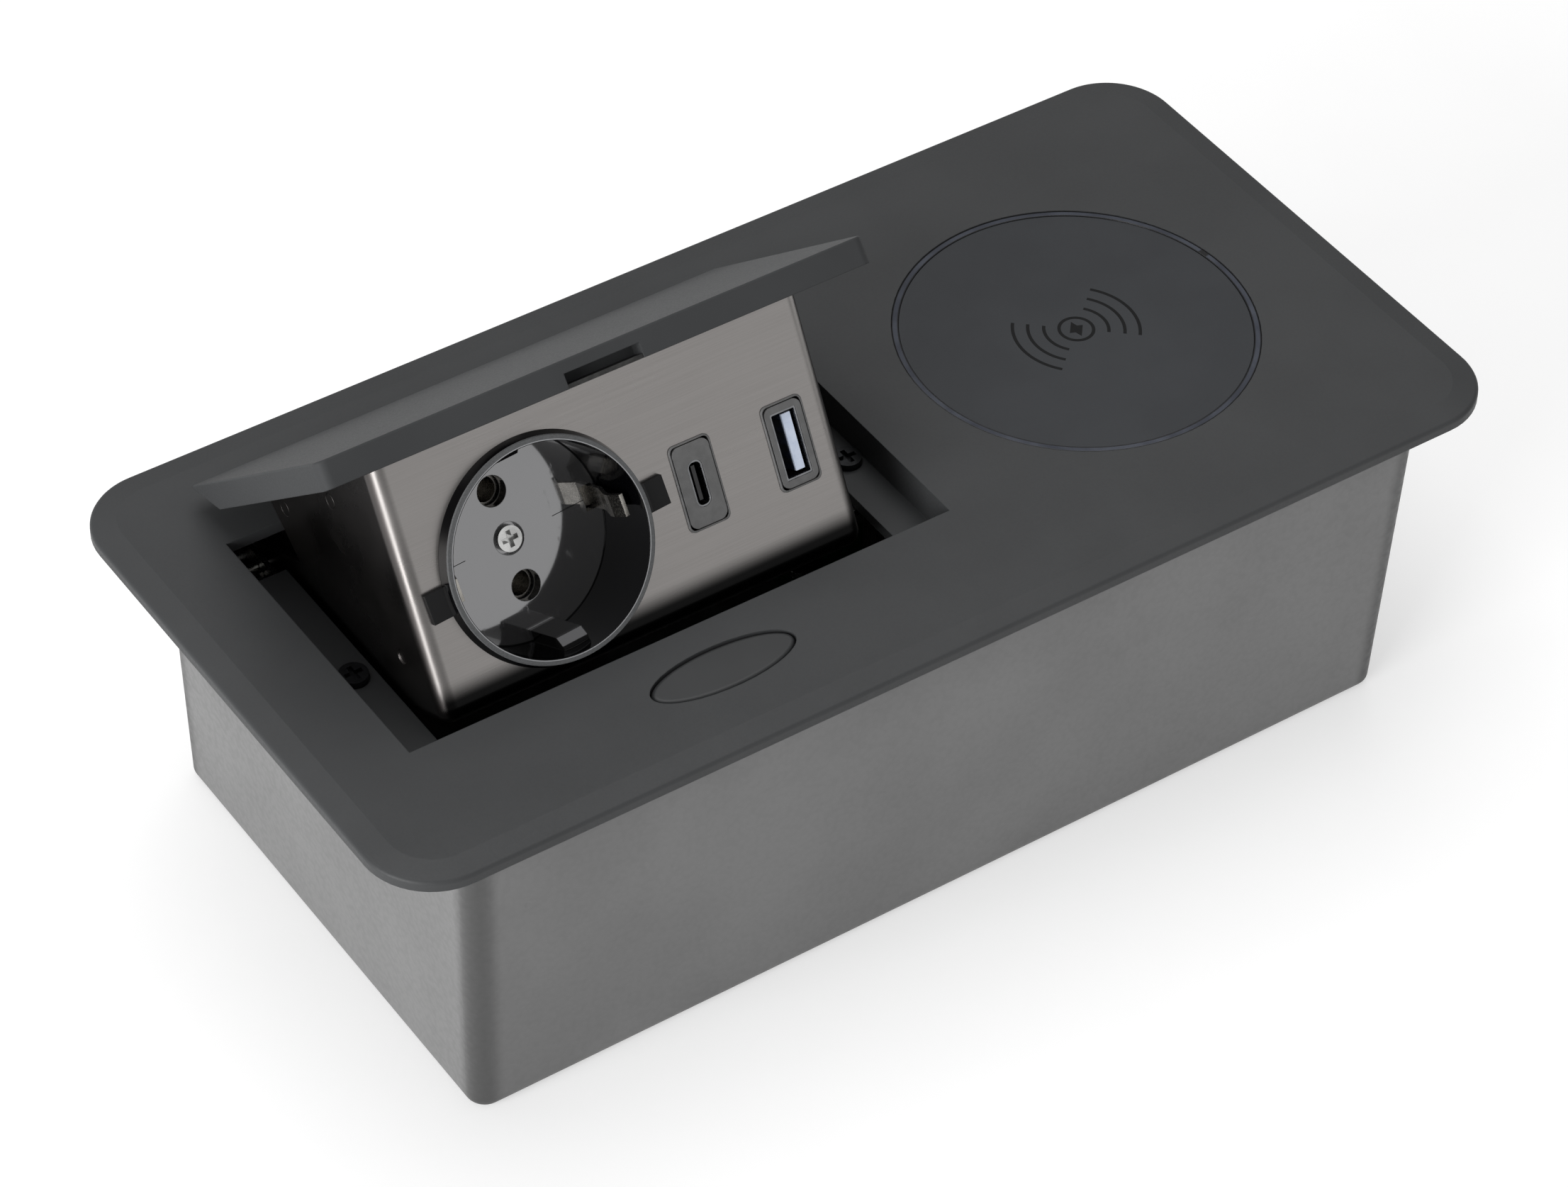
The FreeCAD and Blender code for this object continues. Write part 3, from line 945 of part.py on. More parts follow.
def charger():
    hole = "(chargerHole - glowPlay)"
    trayInner = "(chargerHole + glowFlange + trayPlay)"
    ledge = f"({hole} - glowWidth - discPlay)"
    floorTop = "(trayFloor - frameThick - trayDeep)"
    turnedBody("light_ring", [
        (f"{hole} - glowWidth", "-glowDrop"), (hole, "-glowDrop"), (hole, "-frameThick"),
        ("chargerHole + glowFlange", "-frameThick"), ("chargerHole + glowFlange", "-frameThick - glowLip"),
        (f"{hole} - glowWidth", "-frameThick - glowLip")], chargerPlace)
    turnedBody("charger_disc", [
        ("0", "-discDrop"), (ledge, "-discDrop"), (ledge, "-discDrop - discThick"),
        ("0", "-discDrop - discThick")], chargerPlace)
    tray = turnedBody("charger_tray", [
        ("0", "-frameThick - trayDeep"), (f"{trayInner} + trayWall", "-frameThick - trayDeep"),
        (f"{trayInner} + trayWall", "-frameThick"), (trayInner, "-frameThick"),
        (trayInner, "-frameThick - trayStep"), (ledge, "-frameThick - trayStep"),
        (ledge, "-discDrop - discThick"), (f"{ledge} - trayShelf", "-discDrop - discThick"),
        (f"{ledge} - trayShelf", floorTop), ("0", floorTop)], chargerPlace)
    ears = newSketch(tray, "TrayEars", lift="-frameThick - bossDrop")
    for turn in (60, 180, 300):
        circle(ears, f"trayEar*cos({turn}deg)", f"trayEar*sin({turn}deg)", "trayEarRadius")
    pad(tray, "TrayEarPad", ears, "earThick", reverse=True)
    bores = newSketch(tray, "TrayBores", lift="-frameThick - bossDrop")
    for turn in (60, 180, 300):
        circle(bores, f"trayEar*cos({turn}deg)", f"trayEar*sin({turn}deg)", "screwRadius + screwPlay")
    pocket(tray, "TrayHoles", bores, "earThick")
    posts = newSketch(tray, "TrayPosts", lift=floorTop)
    boardUnder = "(-discDrop - discThick - boardPlay - coilThick - ferriteThick - boardThick)"
    for turn in (0, 90, 180, 270):
        circle(posts, f"postRing*cos({turn}deg)", f"postRing*sin({turn}deg)", "postRadius")
    pad(tray, "TrayPostPad", posts, f"{boardUnder} - {floorTop}")
    seats = [Placement(spot(x, y, f"{bossUnder} - earThick"), downward) for x, y in trayEars]
    screws("tray_screws", seats, "earThick + screwBite")

    coilTop = "(-discDrop - discThick - boardPlay)"
    turnedBody("charging_coil", [
        ("coilInner", coilTop), ("coilOuter", coilTop), ("coilOuter", f"{coilTop} - coilThick"),
        ("coilInner", f"{coilTop} - coilThick")], chargerPlace)
    for label, radius, top, thick in (
            ("ferrite_plate", "ferriteRadius", f"{coilTop} - coilThick", "ferriteThick"),
            ("charger_board", f"{ledge} - trayShelf - boardPlay", f"{coilTop} - coilThick - ferriteThick",
             "boardThick")):
        plate = newBody(label, chargerPlace)
        outline = newSketch(plate, f"{label}_outline", lift=top)
        circle(outline, "0", "0", radius)
        pad(plate, f"{label}_pad", outline, thick, reverse=True)
    turnedBody("light_board", [
        (f"{ledge} + discPlay", "-frameThick - trayStep"),
        (f"{trayInner} - discPlay", "-frameThick - trayStep"),
        (f"{trayInner} - discPlay", "glowBoardThick - frameThick - trayStep"),
        (f"{ledge} + discPlay", "glowBoardThick - frameThick - trayStep")], chargerPlace)


# Release button, its guide and the sliding catch

def releaseButton():
    under = "(-buttonDrop - buttonTall)"
    lipTop = "(-frameThick - buttonPlay)"
    button = newBody("push_button", buttonPlace)
    cap = newSketch(button, "CapSketch", lift="-buttonDrop")
    ellipse(cap, "buttonLong - buttonGap", "buttonWide - buttonGap")
    pad(button, "CapPad", cap, "buttonTall", reverse=True)
    crown = amount("-buttonDrop")
    roundEdges(button, "CapCrown", lambda edge: isLevel(edge, crown), "buttonRound")
    collar = newSketch(button, "CollarSketch", lift=lipTop)
    ellipse(collar, "buttonLong - buttonGap + buttonLip", "buttonWide - buttonGap + buttonLip")
    pad(button, "CollarPad", collar, "buttonLipThick", reverse=True)
    stem = newSketch(button, "StemSketch", lift=under)
    circle(stem, "0", "0", "stemRadius")
    pad(button, "StemPad", stem, "stemLong", reverse=True)

    guide = newBody("button_guide", buttonPlace)
    halfLong = "(buttonLong + buttonLip + buttonPlay)"
    halfWide = "(buttonWide + buttonLip + buttonPlay)"
    deep = f"(springRoom - {under} - frameThick)"
    rear = f"({buttonY} - openFront - wellWall - latchPlay)"
    shell = newSketch(guide, "GuideSketch", lift="-frameThick")
    rectangle(shell, f"-{halfLong} - guideWall", f"{halfLong} + guideWall", f"-{halfWide} - guideWall", rear)
    pad(guide, "GuidePad", shell, f"{deep} + guideWall", reverse=True)
    ears = newSketch(guide, "GuideEars", lift="-frameThick - bossDrop")
    rectangle(ears, "-guideReach - earRadius", "guideReach + earRadius", "-earRadius", "earRadius")
    pad(guide, "GuideEarPad", ears, "earThick", reverse=True)
    inside = newSketch(guide, "GuideInside", lift="-frameThick")
    rectangle(inside, f"-{halfLong}", halfLong, f"-{halfWide}",
              f"{rear} - latchTravel - latchThick - latchPlay")
    pocket(guide, "GuidePocket", inside, deep)
    track = newSketch(guide, "LatchTrack", lift="-frameThick")
    half = "(latchWide/2 + latchPlay)"
    rectangle(track, f"-{half}", half, "0", f"{rear} + wellWall")
    pocket(guide, "LatchTrackPocket", track, "latchLeg + latchThick + latchPlay*2")
    stemHole = newSketch(guide, "StemHole", lift="-frameThick")
    circle(stemHole, "0", "0", "stemRadius + buttonPlay")
    pocket(guide, "StemBore", stemHole, f"{deep} + guideWall")
    holes = newSketch(guide, "GuideHoles", lift="-frameThick - bossDrop")
    for side in "-+":
        circle(holes, f"0 {side} guideReach", "0", "screwRadius + screwPlay")
    pocket(guide, "GuideBores", holes, "earThick")
    seats = [Placement(spot(x, y, f"{bossUnder} - earThick"), downward) for x, y in guideScrews]
    screws("guide_screws", seats, "earThick + screwBite")

    radius, wire = amount("stemRadius + buttonPlay + springWire"), amount("springWire/2")
    tall = amount("springRoom - springWire - springPlay*2")
    pitch = tall / amount("springTurns")
    coil = Part.makeHelix(pitch, tall, radius)
    along = Vector(0, radius, pitch / (2 * pi)).normalize()
    ring = Part.Wire([Part.Circle(Vector(radius, 0, 0), along, wire).toShape()])
    spring = doc.addObject("Part::Feature", "button_spring")
    spring.Label = "button_spring"
    spring.Shape = Part.Wire(coil.Edges).makePipeShell([ring], True, True)
    seat = spot("0", "0", f"{under} - springRoom + springWire/2 + springPlay")
    spring.Placement = buttonPlace.multiply(Placement(seat, upward))

    latch = newBody("latch_hook", buttonPlace)
    side = newSketch(latch, "LatchSide", "YZ_Plane", lift="-latchWide/2")
    back = f"({rear} - latchTravel - latchThick)"
    top = "(-frameThick - latchPlay)"
    polygon(side, [(back, top), (f"{buttonY} - openFront - latchBack", top),
                   (f"{buttonY} - openFront - latchBack", f"{top} - latchThick/2"),
                   (f"{buttonY} - openFront - latchBack - latchThick/2", f"{top} - latchThick"),
                   (f"{back} + latchThick", f"{top} - latchThick"),
                   (f"{back} + latchThick", f"{top} - latchThick - latchLeg"),
                   (back, f"{top} - latchThick - latchLeg")])
    pad(latch, "LatchPad", side, "latchWide")


# Power supply on the casing's floor

def powerSupply():
    board = newBody("power_board")
    top = "(caseWall + standoff + boardThick)"
    plan = newSketch(board, "PowerSketch", lift="caseWall + standoff")
    rectangle(plan, "powerX - powerLong/2", "powerX + powerLong/2", "-powerWide/2", "powerWide/2")
    for x, y in boardCorners:
        circle(plan, x, y, "screwRadius + screwPlay")
    pad(board, "PowerPad", plan, "boardThick")
    screws("board_screws", [Placement(spot(x, y, top), upward) for x, y in boardCorners],
           "boardThick + boardBite")

    core = block("core_block", ("powerX - coreLong", "-coreWide/2", top), "coreLong", "coreWide", "coreHigh")
    low = ("powerX - coreLong*3/4", "-coreWide/2 - windingOut", f"{top} + windingFoot")
    winding = block("core_winding", low, "coreLong/2", "coreWide + windingOut*2", "windingHigh")
    transformer = fuse("transformer", [core, winding])
    transformer.Label = "transformer"
    cans = []
    for k in (-1, 0, 1):
        can = cylinder(f"can{k + 2}", "canRadius", "canHigh")
        can.Placement = Placement(spot("powerX + powerLong/4", f"{k}*canPitch - canShift", top), upward)
        cans.append(can)
    group("capacitors", cans)
    terminal = newBody("terminal_block")
    foot = newSketch(terminal, "TerminalSketch", lift=top)
    rectangle(foot, "inletX - blockLong/2", "inletX + blockLong/2 - standoffInset",
              "powerWide/2 - blockWide - standoffInset*2", "powerWide/2 - standoffInset*2")
    pad(terminal, "TerminalPad", foot, "blockHigh")
    wells = newSketch(terminal, "TerminalWells", lift=f"{top} + blockHigh")
    for k in (-1, 0, 1):
        circle(wells, f"inletX - standoffInset/2 + {k}*blockLong/4",
               "powerWide/2 - blockWide/2 - standoffInset*2", "wireWell")
    pocket(terminal, "TerminalPockets", wells, "blockHigh/2")


framePlate()
housing()
cableInlet()
screws("case_screws", [Placement(spot(x, y, f"{bossUnder} - screwBite"), downward) for x, y in pillars],
       "screwBite*2", headRadius="screwHead")
screws("ledge_screws", [Placement(spot(x, y, "topHeight - ledgeDrop - ledgeScrewSink"), upward)
                        for x, y in ledgeScrews],
       "ledgeThick - ledgeScrewSink + bracketThick")
hingeBracket("left", earLeft, "-ledgeScrewLeft", "-ledgeScrewLeft - flangeEdge")
hingeBracket("right", earRight, "ledgeScrewRight", "ledgeScrewRight + flangeEdge")
hingePins()
hingeSprings()
charger()
releaseButton()
powerSupply()
lid()
lidRivets()
flipBox()
flipBack()
socketInsert()
earthStrip()
socketBase()
usbModule()
doc.recompute()

nodes = [
    "frame_plate", "housing", "case_screws", "ledge_screws", "cable_gland", "gland_nut",
    "hinge_bracket_left", "hinge_bracket_right", "hinge_pins", "pin_clips", "ear_pegs", "hinge_springs",
    "light_ring", "charger_disc", "charger_tray", "tray_screws", "charging_coil", "ferrite_plate",
    "charger_board", "light_board", "button_guide", "guide_screws", "push_button", "button_spring",
    "latch_hook", "power_board", "board_screws", "transformer", "capacitors", "terminal_block",
    "lid", "lid_strike", "lid_rivets", "flip_box", "flip_back", "hinge_bushes", "arm_pegs",
    "socket_insert", "socket_screw", "earth_strip", "socket_base", "contact_sleeves",
    "usb_c_plate", "usb_c_shell", "usb_c_tongue", "usb_a_plate", "usb_a_shell", "usb_a_tongue",
    "usb_block", "usb_board",
]
for item in doc.Objects:
    if "Invalid" in item.State or "Error" in item.State:
        raise RuntimeError(f"{item.Label} did not build: {item.State}")
pieces = {item.Label: item for item in doc.Objects if item.Label in nodes}
for node in nodes:
    shape = pieces[node].Shape
    if shape.isNull() or not shape.isValid() or not shape.Solids:
        raise RuntimeError(f"{node} has no valid solid")
for node in nodes:
    shape = pieces[node].Shape
    shape.exportStep(f"parts/{node}.step")
    print(node, len(shape.Solids), round(shape.Volume, 1))
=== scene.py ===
import json
import math

import bpy
import numpy as np
from mathutils import Matrix, Vector


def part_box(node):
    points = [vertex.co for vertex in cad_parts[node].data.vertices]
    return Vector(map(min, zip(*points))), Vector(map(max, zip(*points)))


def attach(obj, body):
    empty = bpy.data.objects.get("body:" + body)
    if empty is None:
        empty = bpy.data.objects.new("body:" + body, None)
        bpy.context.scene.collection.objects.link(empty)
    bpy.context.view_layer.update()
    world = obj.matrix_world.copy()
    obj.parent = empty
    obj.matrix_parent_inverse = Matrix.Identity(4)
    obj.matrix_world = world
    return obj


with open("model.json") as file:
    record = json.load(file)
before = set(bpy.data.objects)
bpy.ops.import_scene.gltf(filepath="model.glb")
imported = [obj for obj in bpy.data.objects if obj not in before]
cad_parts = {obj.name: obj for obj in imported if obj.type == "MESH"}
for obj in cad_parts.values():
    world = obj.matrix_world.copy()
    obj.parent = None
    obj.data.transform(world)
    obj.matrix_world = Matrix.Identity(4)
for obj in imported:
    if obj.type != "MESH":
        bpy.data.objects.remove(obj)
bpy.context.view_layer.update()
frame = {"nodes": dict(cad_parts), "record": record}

# In-desk power module with its hinged socket unit open: the finishes, the printed charging mark, the
# small contacts, the studio and the camera. Lengths are metres, angles degrees, and colours are
# written as they look on the screen.

print("frame loaded:", len(frame["nodes"]), "pieces")


# Finishes: each reads the piece's own coordinates, so its pattern stays on the piece

def screenColour(text):
    parts = [int(text[i:i + 2], 16) / 255 for i in (1, 3, 5)]
    linear = [part / 12.92 if part <= 0.04045 else ((part + 0.055) / 1.055) ** 2.4 for part in parts]
    return (*linear, 1)


class Finish:
    # One material: its shader and the nodes that feed it
    def __init__(self, name, shine):
        self.material = bpy.data.materials.new(name)
        self.material.use_nodes = True
        self.tree = self.material.node_tree
        self.shader = self.tree.nodes["Principled BSDF"]
        for socket, value in shine.items():
            self.shader.inputs[socket].default_value = value
        self.place = self.add("TexCoord").outputs["Object"]

    def add(self, kind, values=(), **settings):
        node = self.tree.nodes.new("ShaderNode" + kind)
        for setting, value in settings.items():
            setattr(node, setting, value)
        for socket, value in dict(values).items():
            self.feed(node.inputs[socket], value)
        return node

    def feed(self, socket, value):
        if isinstance(value, bpy.types.NodeSocket):
            self.tree.links.new(value, socket)
        else:
            socket.default_value = value

    def give(self, **inputs):
        for socket, value in inputs.items():
            self.feed(self.shader.inputs[socket.replace("_", " ")], value)

    def reckon(self, operation, first, second=0.0):
        return self.add("Math", {0: first, 1: second}, operation=operation).outputs[0]

    def along(self, direction, place=None):
        # Distance along a direction, from the origin of the coordinates
        dot = self.add("VectorMath", {0: place or self.place, 1: direction}, operation="DOT_PRODUCT")
        return dot.outputs["Value"]

    def placeFrom(self, point):
        # The place on the piece, measured from a point
        return self.add("VectorMath", {0: self.place, 1: point}, operation="SUBTRACT").outputs[0]

    def length(self, first, second):
        # Length of an arrow with these two parts at right angles
        return self.reckon("SQRT", self.reckon("ADD", self.reckon("MULTIPLY", first, first),
                                               self.reckon("MULTIPLY", second, second)))

    def noise(self, size, detail=3.0, stretch=(1, 1, 1)):
        # Cloudy pattern whose patches are about the given size, longer along an axis whose part of
        # "stretch" is small
        scaled = self.add("VectorMath", {0: self.place, 1: [part / size for part in stretch]},
                          operation="MULTIPLY").outputs[0]
        return self.add("TexNoise", {"Vector": scaled, "Scale": 1.0, "Detail": detail}).outputs["Fac"]

    def cells(self, size, feature="F1"):
        scaled = self.add("VectorMath", {0: self.place, 1: [1 / size] * 3}, operation="MULTIPLY").outputs[0]
        return self.add("TexVoronoi", {"Vector": scaled, "Scale": 1.0}, feature=feature).outputs["Distance"]

    def mapped(self, value, low, high, toLow=0.0, toHigh=1.0):
        return self.add("MapRange", {"Value": value, "From Min": low, "From Max": high, "To Min": toLow,
                                     "To Max": toHigh}, interpolation_type="SMOOTHSTEP").outputs[0]

    def mix(self, factor, first, second):
        node = self.add("Mix", data_type="RGBA")
        for socket, value in ((0, factor), (6, first), (7, second)):
            self.feed(node.inputs[socket], screenColour(value) if isinstance(value, str) else value)
        return node.outputs[2]

    def blend(self, factor, first, second):
        return self.add("Mix", {0: factor, 2: first, 3: second}, data_type="FLOAT").outputs[0]

    def relief(self, edge, *layers):
        # Rounded-looking edges, then each pattern raised by its depth in metres
        normal = self.add("Bevel", {"Radius": edge}, samples=4).outputs[0]
        for height, depth in layers:
            normal = self.add("Bump", {"Height": height, "Distance": depth, "Strength": 1.0,
                                       "Normal": normal}).outputs[0]
        self.give(Normal=normal)


# Finishes that need only a cloud of colour, a grain and a relief
looks = {
    "frame": {"dark": "#373839", "light": "#3a3b3c", "cloud": 0.02, "grain": 0.0004, "depth": 8e-6,
              "rough": (0.44, 0.54), "edge": 0.0003, "gloss": 0.25},
    "lid": {"dark": "#3b3c3d", "light": "#3e3f40", "cloud": 0.02, "grain": 0.0004, "depth": 8e-6,
            "rough": (0.50, 0.60), "edge": 0.0003, "gloss": 0.08},
    "button_cap": {"dark": "#2c2d2e", "light": "#2f3031", "cloud": 0.012, "grain": 0.0003, "depth": 5e-6,
                   "rough": (0.32, 0.40), "edge": 0.0003, "gloss": 0.3},
    "charger_cover": {"dark": "#2e3033", "light": "#313336", "cloud": 0.013, "grain": 0.0003,
                      "depth": 4e-6, "rough": (0.42, 0.50), "edge": 0.0002, "gloss": 0.25},
    "steel_screws": {"dark": "#a9a9a8", "light": "#c9c9c8", "cloud": 0.003, "grain": 0.0003,
                     "depth": 4e-6, "rough": (0.16, 0.28), "edge": 0.0001, "metal": 1.0},
    "black_screws": {"dark": "#17181a", "light": "#222326", "cloud": 0.002, "grain": 0.0002,
                     "depth": 6e-6, "rough": (0.34, 0.48), "edge": 0.0001, "metal": 0.6},
    "black_plastic": {"dark": "#1a1a1b", "light": "#212122", "cloud": 0.01, "grain": 0.0004,
                      "depth": 1.2e-5, "rough": (0.48, 0.62), "edge": 0.0003},
    "plated_steel": {"dark": "#9c9d9b", "light": "#bdbdb8", "cloud": 0.006, "grain": 0.0005,
                     "depth": 5e-6, "rough": (0.24, 0.38), "edge": 0.0002, "metal": 1.0},
    "spring_steel": {"dark": "#6f6c68", "light": "#93908b", "cloud": 0.002, "grain": 0.0002,
                     "depth": 4e-6, "rough": (0.22, 0.34), "edge": 0.00005, "metal": 1.0},
    "ferrite": {"dark": "#232326", "light": "#303034", "cloud": 0.004, "grain": 0.0005, "depth": 1.5e-5,
                "rough": (0.62, 0.78), "edge": 0.0002},
    "terminal_plastic": {"dark": "#2f5a43", "light": "#376850", "cloud": 0.006, "grain": 0.0004,
                         "depth": 6e-6, "rough": (0.36, 0.46), "edge": 0.0003},
    "bush_plastic": {"dark": "#dad7cd", "light": "#e6e3da", "cloud": 0.004, "grain": 0.0004,
                     "depth": 6e-6, "rough": (0.40, 0.50), "edge": 0.0002},
    "earth_brass": {"dark": "#8a8782", "light": "#a9a6a0", "cloud": 0.003, "grain": 0.0003,
                    "depth": 4e-6, "rough": (0.18, 0.30), "edge": 0.0001, "metal": 1.0},
    "port_plastic": {"dark": "#545454", "light": "#5d5d5d", "cloud": 0.002, "grain": 0.00022,
                     "depth": 1.6e-5, "rough": (0.50, 0.62), "edge": 0.00015},
    "port_shell": {"dark": "#6a6b6d", "light": "#808183", "cloud": 0.002, "grain": 0.0003,
                   "depth": 3e-6, "rough": (0.18, 0.30), "edge": 0.00005, "metal": 1.0},
    "tongue_black": {"dark": "#101012", "light": "#18181a", "cloud": 0.002, "grain": 0.0003,
                     "depth": 4e-6, "rough": (0.30, 0.40), "edge": 0.00008},
    "dark_steel": {"dark": "#262626", "light": "#3a3a39", "cloud": 0.0012, "grain": 0.0004,
                   "depth": 2e-5, "rough": (0.40, 0.60), "edge": 0.0001, "metal": 0.5},
}


def plainFinish(name):
    look = looks[name]
    finish = Finish(name + "_look", {"Metallic": look.get("metal", 0.0),
                                     "Specular IOR Level": look.get("gloss", 0.5)})
    grain = finish.noise(look["grain"], 4.0)
    cloud = finish.mapped(finish.noise(look["cloud"]), 0.3, 0.7)
    finish.give(Base_Color=finish.mix(cloud, look["dark"], look["light"]),
                Roughness=finish.mapped(grain, 0.3, 0.7, *look["rough"]))
    finish.relief(look["edge"], (grain, look["depth"]))
    return finish.material


# Casing: moulded grey plastic with a leather-like grain and a few shallow pits, with painted shade
# darkening a band down its four upright corners
casingLook = {"dark": "#696969", "light": "#707070", "cornerShade": "#3a3a3a", "band": 0.004,
              "leather": 0.0011, "leatherDepth": 3e-5, "pit": 0.009, "pitDepth": 3e-5, "cloud": 0.03,
              "rough": (0.42, 0.54), "edge": 0.0005, "draft": 1.5}


def casingFinish():
    look = casingLook
    finish = Finish("casing_look", {})
    low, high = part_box("housing")
    middle = (low + high) / 2
    apart = finish.placeFrom(tuple(middle))
    across, deep = finish.along((1, 0, 0), apart), finish.along((0, 1, 0), apart)
    toEnd = finish.reckon("SUBTRACT", (high.x - low.x) / 2, finish.reckon("ABSOLUTE", across))
    toFront = finish.reckon("SUBTRACT", (high.y - low.y) / 2, finish.reckon("ABSOLUTE", deep))
    slope = 2 * math.tan(math.radians(look["draft"]))
    inset = finish.reckon("MULTIPLY", finish.reckon("SUBTRACT", high.z, finish.along((0, 0, 1))), slope)
    nearness = finish.reckon("SUBTRACT", finish.reckon("ADD", toEnd, toFront), inset)
    # Painted shade: a darker band coloured down each upright corner of the casing
    corner = finish.mapped(nearness, look["band"] / 2, look["band"] * 1.6)
    leather = finish.cells(look["leather"], "SMOOTH_F1")
    cloud = finish.mapped(finish.noise(look["cloud"], 4.0), 0.3, 0.7)
    pits = finish.mapped(finish.cells(look["pit"]), 0.03, 0.10)
    skin = finish.mix(cloud, look["dark"], look["light"])
    finish.give(Base_Color=finish.mix(corner, look["cornerShade"], skin),
                Roughness=finish.mapped(leather, 0.2, 0.8, *look["rough"]))
    finish.relief(look["edge"], (leather, look["leatherDepth"]), (pits, look["pitDepth"]))
    return finish.material


# The panel of the socket unit, with the unit open: X runs along it, "up" up its face, "out" off it. The
# socket's two pins lie on a line rolled a little from X.
panelLook = {"lean": 60.0, "topEdge": (0, -0.00135, 0.11264), "socketX": -0.0646, "socketDown": 0.0259,
             "roll": 3.8}
panelUp = Vector((0, math.cos(math.radians(panelLook["lean"])), math.sin(math.radians(panelLook["lean"]))))
panelOut = Vector((1, 0, 0)).cross(panelUp)


def onPanel(x, up, out=0.0):
    return Vector(panelLook["topEdge"]) + Vector((x, 0, 0)) + up * panelUp + out * panelOut


def socketFrame(out=0.0):
    # The socket's centre, the direction from one pin to the other and the one across it
    roll = math.radians(panelLook["roll"])
    sideways = Vector((math.cos(roll), 0, 0)) + math.sin(roll) * panelUp
    upwards = Vector((-math.sin(roll), 0, 0)) + math.cos(roll) * panelUp
    return onPanel(panelLook["socketX"], -panelLook["socketDown"], out), sideways, upwards


# Socket unit's folded steel: brushed along the hinge, with faint stains in the brushing, and painted
# shade darkening its folded sides and its face towards the bottom bend
steelLook = {"dark": "#878482", "light": "#8c8987", "stain": "#928f8d", "streak": 0.00022, "draw": 0.01,
             "cloud": 0.022, "depth": 1.5e-6, "rough": (0.24, 0.34), "edge": 0.0004,
             "folded": "#524f4e", "bend": "#161616", "bendLow": -0.0455, "bendHigh": -0.0412,
             "foldBack": -0.0014, "foldFront": -0.0004}


def steelFinish():
    look = steelLook
    finish = Finish("box_steel_look", {"Metallic": 1.0})
    streak = finish.noise(look["streak"], 3.0, (look["draw"], 1, 1))
    cloud = finish.noise(look["cloud"], 4.0, (0.5, 1, 1))
    skin = finish.mix(finish.mapped(streak, 0.3, 0.7), look["dark"], look["light"])
    skin = finish.mix(finish.mapped(cloud, 0.45, 0.75, 0.0, 0.6), skin, look["stain"])
    # Painted shade: the colour is made darker on the folded sides and near the bottom bend
    apart = finish.placeFrom(tuple(onPanel(0, 0)))
    aboveBend = finish.mapped(finish.along(tuple(panelUp), apart), look["bendLow"], look["bendHigh"])
    onFace = finish.mapped(finish.along(tuple(panelOut), apart), look["foldBack"], look["foldFront"])
    skin = finish.mix(onFace, look["folded"], finish.mix(aboveBend, look["bend"], skin))
    finish.give(Base_Color=skin, Roughness=finish.mapped(cloud, 0.3, 0.7, *look["rough"]))
    finish.relief(look["edge"], (streak, look["depth"]))
    return finish.material


# Light guide round the charging face: smoked clear plastic with one dark joint, and painted shade as a
# near-black line along its inner and outer edges
# The "rim" colour is painted shade, standing in for the shadow in the thin gaps beside the ring
ringLook = {"dark": "#30333c", "light": "#3b3f49", "joint": "#0b0b0d", "rim": "#0c0d10",
            "jointTurn": 8.0, "jointWide": 0.0013, "gapShadeWide": 0.00022, "inner": 0.0344, "wide": 0.0013,
            "cloud": 0.006, "grain": 0.0006, "depth": 4e-6, "rough": (0.10, 0.22), "edge": 0.0004}


def ringFinish():
    look = ringLook
    finish = Finish("light_guide_look", {"Specular IOR Level": 0.4})
    low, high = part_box("light_ring")
    middle = (low + high) / 2
    apart = finish.placeFrom(tuple(middle))
    turn = math.radians(look["jointTurn"])
    outward = finish.along((math.cos(turn), math.sin(turn), 0), apart)
    aside = finish.reckon("ABSOLUTE", finish.along((-math.sin(turn), math.cos(turn), 0), apart))
    near = finish.reckon("ADD", aside, finish.mapped(outward, 0, 0.001, 1.0, 0.0))
    joint = finish.mapped(near, look["jointWide"] * 0.6, look["jointWide"])
    side, deep = finish.along((1, 0, 0), apart), finish.along((0, 1, 0), apart)
    radius = finish.length(side, deep)
    outer = look["inner"] + look["wide"]
    fromInner = finish.reckon("SUBTRACT", radius, look["inner"])
    fromEdge = finish.reckon("MINIMUM", fromInner, finish.reckon("SUBTRACT", outer, radius))
    # Painted shade: near-black along both edges of the ring
    clear = finish.mapped(fromEdge, look["gapShadeWide"] * 0.6, look["gapShadeWide"] * 1.4)
    cloud = finish.mapped(finish.noise(look["cloud"], 3.0), 0.3, 0.7)
    grain = finish.noise(look["grain"], 3.0)
    skin = finish.mix(clear, look["rim"], finish.mix(cloud, look["dark"], look["light"]))
    finish.give(Base_Color=finish.mix(joint, look["joint"], skin),
                Roughness=finish.mapped(cloud, 0.0, 1.0, *look["rough"]))
    finish.relief(look["edge"], (grain, look["depth"]))
    return finish.material


# Socket insert: gloss black well and skirt, a fine matt rim with a painted highlight along its inner edge,
# satin ears, and the hairline joints of the shutters in its floor
socketLook = {"gloss": "#8a8a8b", "lead": "#3c3c3d", "wall": "#040405", "rimDark": "#4a4b4c",
              "rimLight": "#575859", "lip": "#8f9092", "ear": "#0d0d0e", "rimInner": 0.0199,
              "rimOuter": 0.0213, "rimPlay": 0.0006, "rimHigh": 0.0020, "lipWide": 0.00018,
              "floor": -0.0138, "leadFloor": -0.0045, "leadPlay": 0.0003, "grain": 0.00025,
              "depth": 2e-5, "seamWide": 0.00012, "seamFrom": 0.0095, "seamDepth": -2e-5,
              "scuff": 0.0016, "edge": 0.0002}


